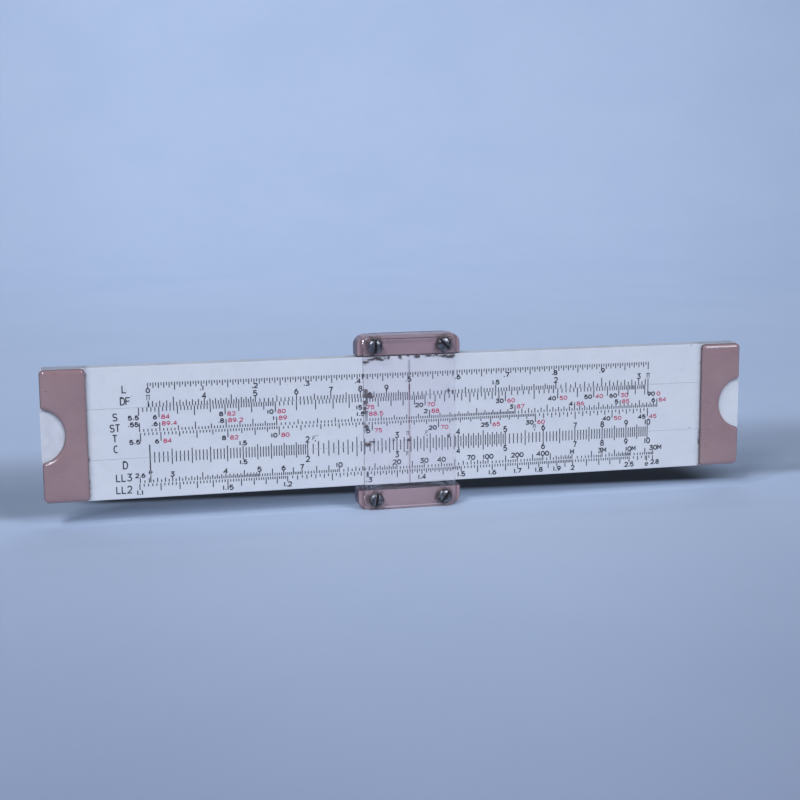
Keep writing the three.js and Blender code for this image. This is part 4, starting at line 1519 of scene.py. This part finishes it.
def blot(draw, x, z, across, up, top):
    """A flat scrap of dried dirt with a ragged outline, on a window's inner face."""
    points = []
    steps = 18
    phases = [draw.uniform(0, 2 * math.pi) for _ in range(3)]
    for index in range(steps):
        angle = 2 * math.pi * index / steps
        ragged = 1 + 0.16 * math.sin(2 * angle + phases[0]) + 0.13 * math.sin(3 * angle + phases[1])
        ragged += 0.12 * math.sin(5 * angle + phases[2]) + draw.uniform(-0.1, 0.1)
        out = Vector((math.cos(angle), math.sin(angle)))
        point = Vector((x + across / 2 * out.x * ragged, z + up / 2 * out.y * ragged))
        points.append((point, out))
    # A scrap that would stick out past the window's side is moved in.
    margin = 0.05
    past_left = BACK_WINDOW[0].x + margin - min(point.x for point, _ in points)
    past_right = max(point.x for point, _ in points) - BACK_WINDOW[1].x + margin
    inward = max(past_left, 0) - max(past_right, 0)
    points = [(point + Vector((inward, 0)), out) for point, out in points]
    edge = min(across, up) * 0.12
    return stacked(points, [(0, top - 0.03), (0, top), (edge, top + 0.015)], on_front)


def make_grime(material):
    """Dirt caught between the front window and the rule: along the upper runner and down the left edge."""
    draw = random.Random(7)
    left = BACK_WINDOW[0].x
    right = BACK_WINDOW[1].x
    top = UPPER_RUNNER[0].z
    scraps = []
    # Under the upper runner: (x, drop below the runner, width, height).
    for x, drop, across, up in (
        (left + 0.5, 1.3, 1.3, 0.6),
        (left + 2.0, 0.75, 1.6, 0.5),
        (left + 3.6, 0.55, 2.0, 0.75),
        (left + 4.6, 0.9, 0.9, 0.5),
        (left + 6.4, 0.4, 0.7, 0.55),
        (left + 9.2, 0.35, 1.0, 0.55),
        (left + 13.4, 0.35, 1.5, 0.8),
        (left + 16.3, 0.3, 1.7, 0.45),
        (left + 20.2, 0.5, 1.6, 0.6),
        (right - 0.9, 0.75, 1.8, 0.75),
        (left + 11.2, 0.2, 0.5, 0.3),
        (left + 18.3, 0.25, 0.8, 0.3),
    ):
        scraps.append((x, top - drop, across, up))
    # Down the left edge and on the faces: (x from the edge, z, width, height).
    for x, z, across, up in (
        (1.0, 28.3, 1.5, 1.1),
        (1.9, 28.0, 1.1, 0.7),
        (0.7, 29.4, 0.8, 0.9),
        (1.6, 28.9, 0.7, 0.6),
        (0.55, 26.6, 0.9, 1.0),
        (0.5, 25.1, 0.8, 0.9),
        (0.7, 24.2, 0.7, 0.7),
        (0.8, 20.7, 0.9, 0.7),
        (1.0, 16.3, 1.6, 0.8),
        (2.2, 16.9, 1.5, 0.3),
        (11.2, 16.9, 0.9, 0.6),
        (7.4, 17.0, 0.5, 0.35),
        (21.3, 28.6, 0.5, 0.3),
        (21.4, 17.3, 0.4, 0.6),
    ):
        scraps.append((left + x, z, across, up))
    mesh = bmesh.new()
    for index, (x, z, across, up) in enumerate(scraps):
        part = blot(draw, x, z, across, up, WINDOW_INNER_Y - 0.04 - 0.002 * (index % 4))
        mesh.from_mesh(part)
        for _ in range(5):
            crumb_x = x + draw.gauss(0, 0.55 * across)
            crumb_z = z + draw.gauss(0, 0.5 * up)
            size = draw.uniform(0.1, 0.32)
            crumb = blot(draw, crumb_x, crumb_z, size, size * 0.8, WINDOW_INNER_Y - 0.06)
            mesh.from_mesh(crumb)
    piece("window_grime", mesh_data("grime", mesh), [material], "cursor")


def on_cursor_front(y):
    """A rule for the places of marks on a face of the cursor that looks forward, at -y."""
    return lambda x, z, proud: Vector((x, -y - proud, z))


def make_window_edges(dirt, worn):
    """Dirt round the front window's edges over the runners and along the start of its top bevel, and a
    painted highlight along the start of its lower bevel.
    """
    low, high = BACK_WINDOW
    outline = rounded_box(low.x, high.x, low.z, high.z, WINDOW_CORNER_RADIUS, WINDOW_CORNER_RADIUS, 0.4)
    crevice = [tuple(point) for point in inset(outline, 0.1)]
    bevel = [tuple(point) for point in inset(outline, WINDOW_FACE_INSET)]
    dark = MarkSheet("window_edge_dirt", "cursor", on_cursor_front(BACK_WINDOW[0].y))
    dark_face = MarkSheet("window_bevel_dirt", "cursor", on_cursor_front(WINDOW_OUTER_Y))
    bright = MarkSheet("window_bevel_highlight", "cursor", on_cursor_front(WINDOW_OUTER_Y))
    margin = 0.3
    upper = [point for point in crevice if point[1] > UPPER_RUNNER[0].z + margin]
    lower = [point for point in crevice if point[1] < LOWER_RUNNER[1].z - margin]
    dirt_width = 0.2
    for line in (upper, reordered(lower)):
        dark.stroke(line, dirt_width)
    top = [point for point in bevel if point[1] > UPPER_RUNNER[1].z - 2.2]
    dark_face.stroke(top, dirt_width)
    # A pale line where the lower bevel starts is a painted highlight, where the bevel's edge catches the
    # light.
    z = LOWER_RUNNER[0].z + WINDOW_FACE_INSET
    highlight_width = 0.16
    bright.stroke([(CURSOR_X - 6.5, z), (CURSOR_X + 7.5, z)], highlight_width)
    for sheet, material in ((dark, dirt), (dark_face, dirt), (bright, worn)):
        sheet.make(material)


def reordered(line):
    """A run of a closed outline, started after its longest gap, so that it is one line."""
    gaps = [math.dist(line[index - 1], line[index]) for index in range(len(line))]
    start = gaps.index(max(gaps))
    return line[start:] + line[:start]


# ---------------------------------------------------------------- assembly


def build():
    bpy.context.scene.view_settings.view_transform = "Standard"
    make_camera()
    make_lights()
    make_stage(stage_material())
    face = white_plastic("white_face", (0.80, 0.79, 0.775), (0.765, 0.762, 0.76), 0.10, 0.0)
    edge = white_plastic("white_edge", (0.60, 0.60, 0.59), (0.52, 0.52, 0.52), 0.35, 0.5)
    brown = brown_plastic()
    make_stators(face, edge)
    make_slide(face)
    make_braces(brown)
    make_runners(runner_plastic())
    make_windows(clear_plastic("clear_plastic", 0.02), clear_plastic("milled_clear_plastic", 0.34))
    make_spring(steel("spring_steel", (0.26, 0.245, 0.24), (0.10, 0.085, 0.085), 0.35, 0.5))
    screws = steel("screw_steel", (0.27, 0.262, 0.27), (0.085, 0.078, 0.082), 0.26, 0.42)
    slot_dirt = grime_material("slot_dirt", (0.012, 0.010, 0.012), (0.04, 0.034, 0.034))
    make_window_screws(screws, slot_dirt)
    make_brace_screws(screws, slot_dirt)
    black = ink("black_ink", (0.014, 0.015, 0.028), (0.045, 0.047, 0.07))
    red = ink("red_ink", (0.56, 0.030, 0.105), (0.60, 0.12, 0.20))
    make_marks(black, red)
    make_hairlines(hairline_ink())
    dirt = grime_material("grime", (0.045, 0.032, 0.034), (0.16, 0.12, 0.115))
    make_grime(dirt)
    make_window_edges(dirt, ink("painted_bevel_highlight", (0.62, 0.54, 0.56), (0.45, 0.37, 0.40)))


build()
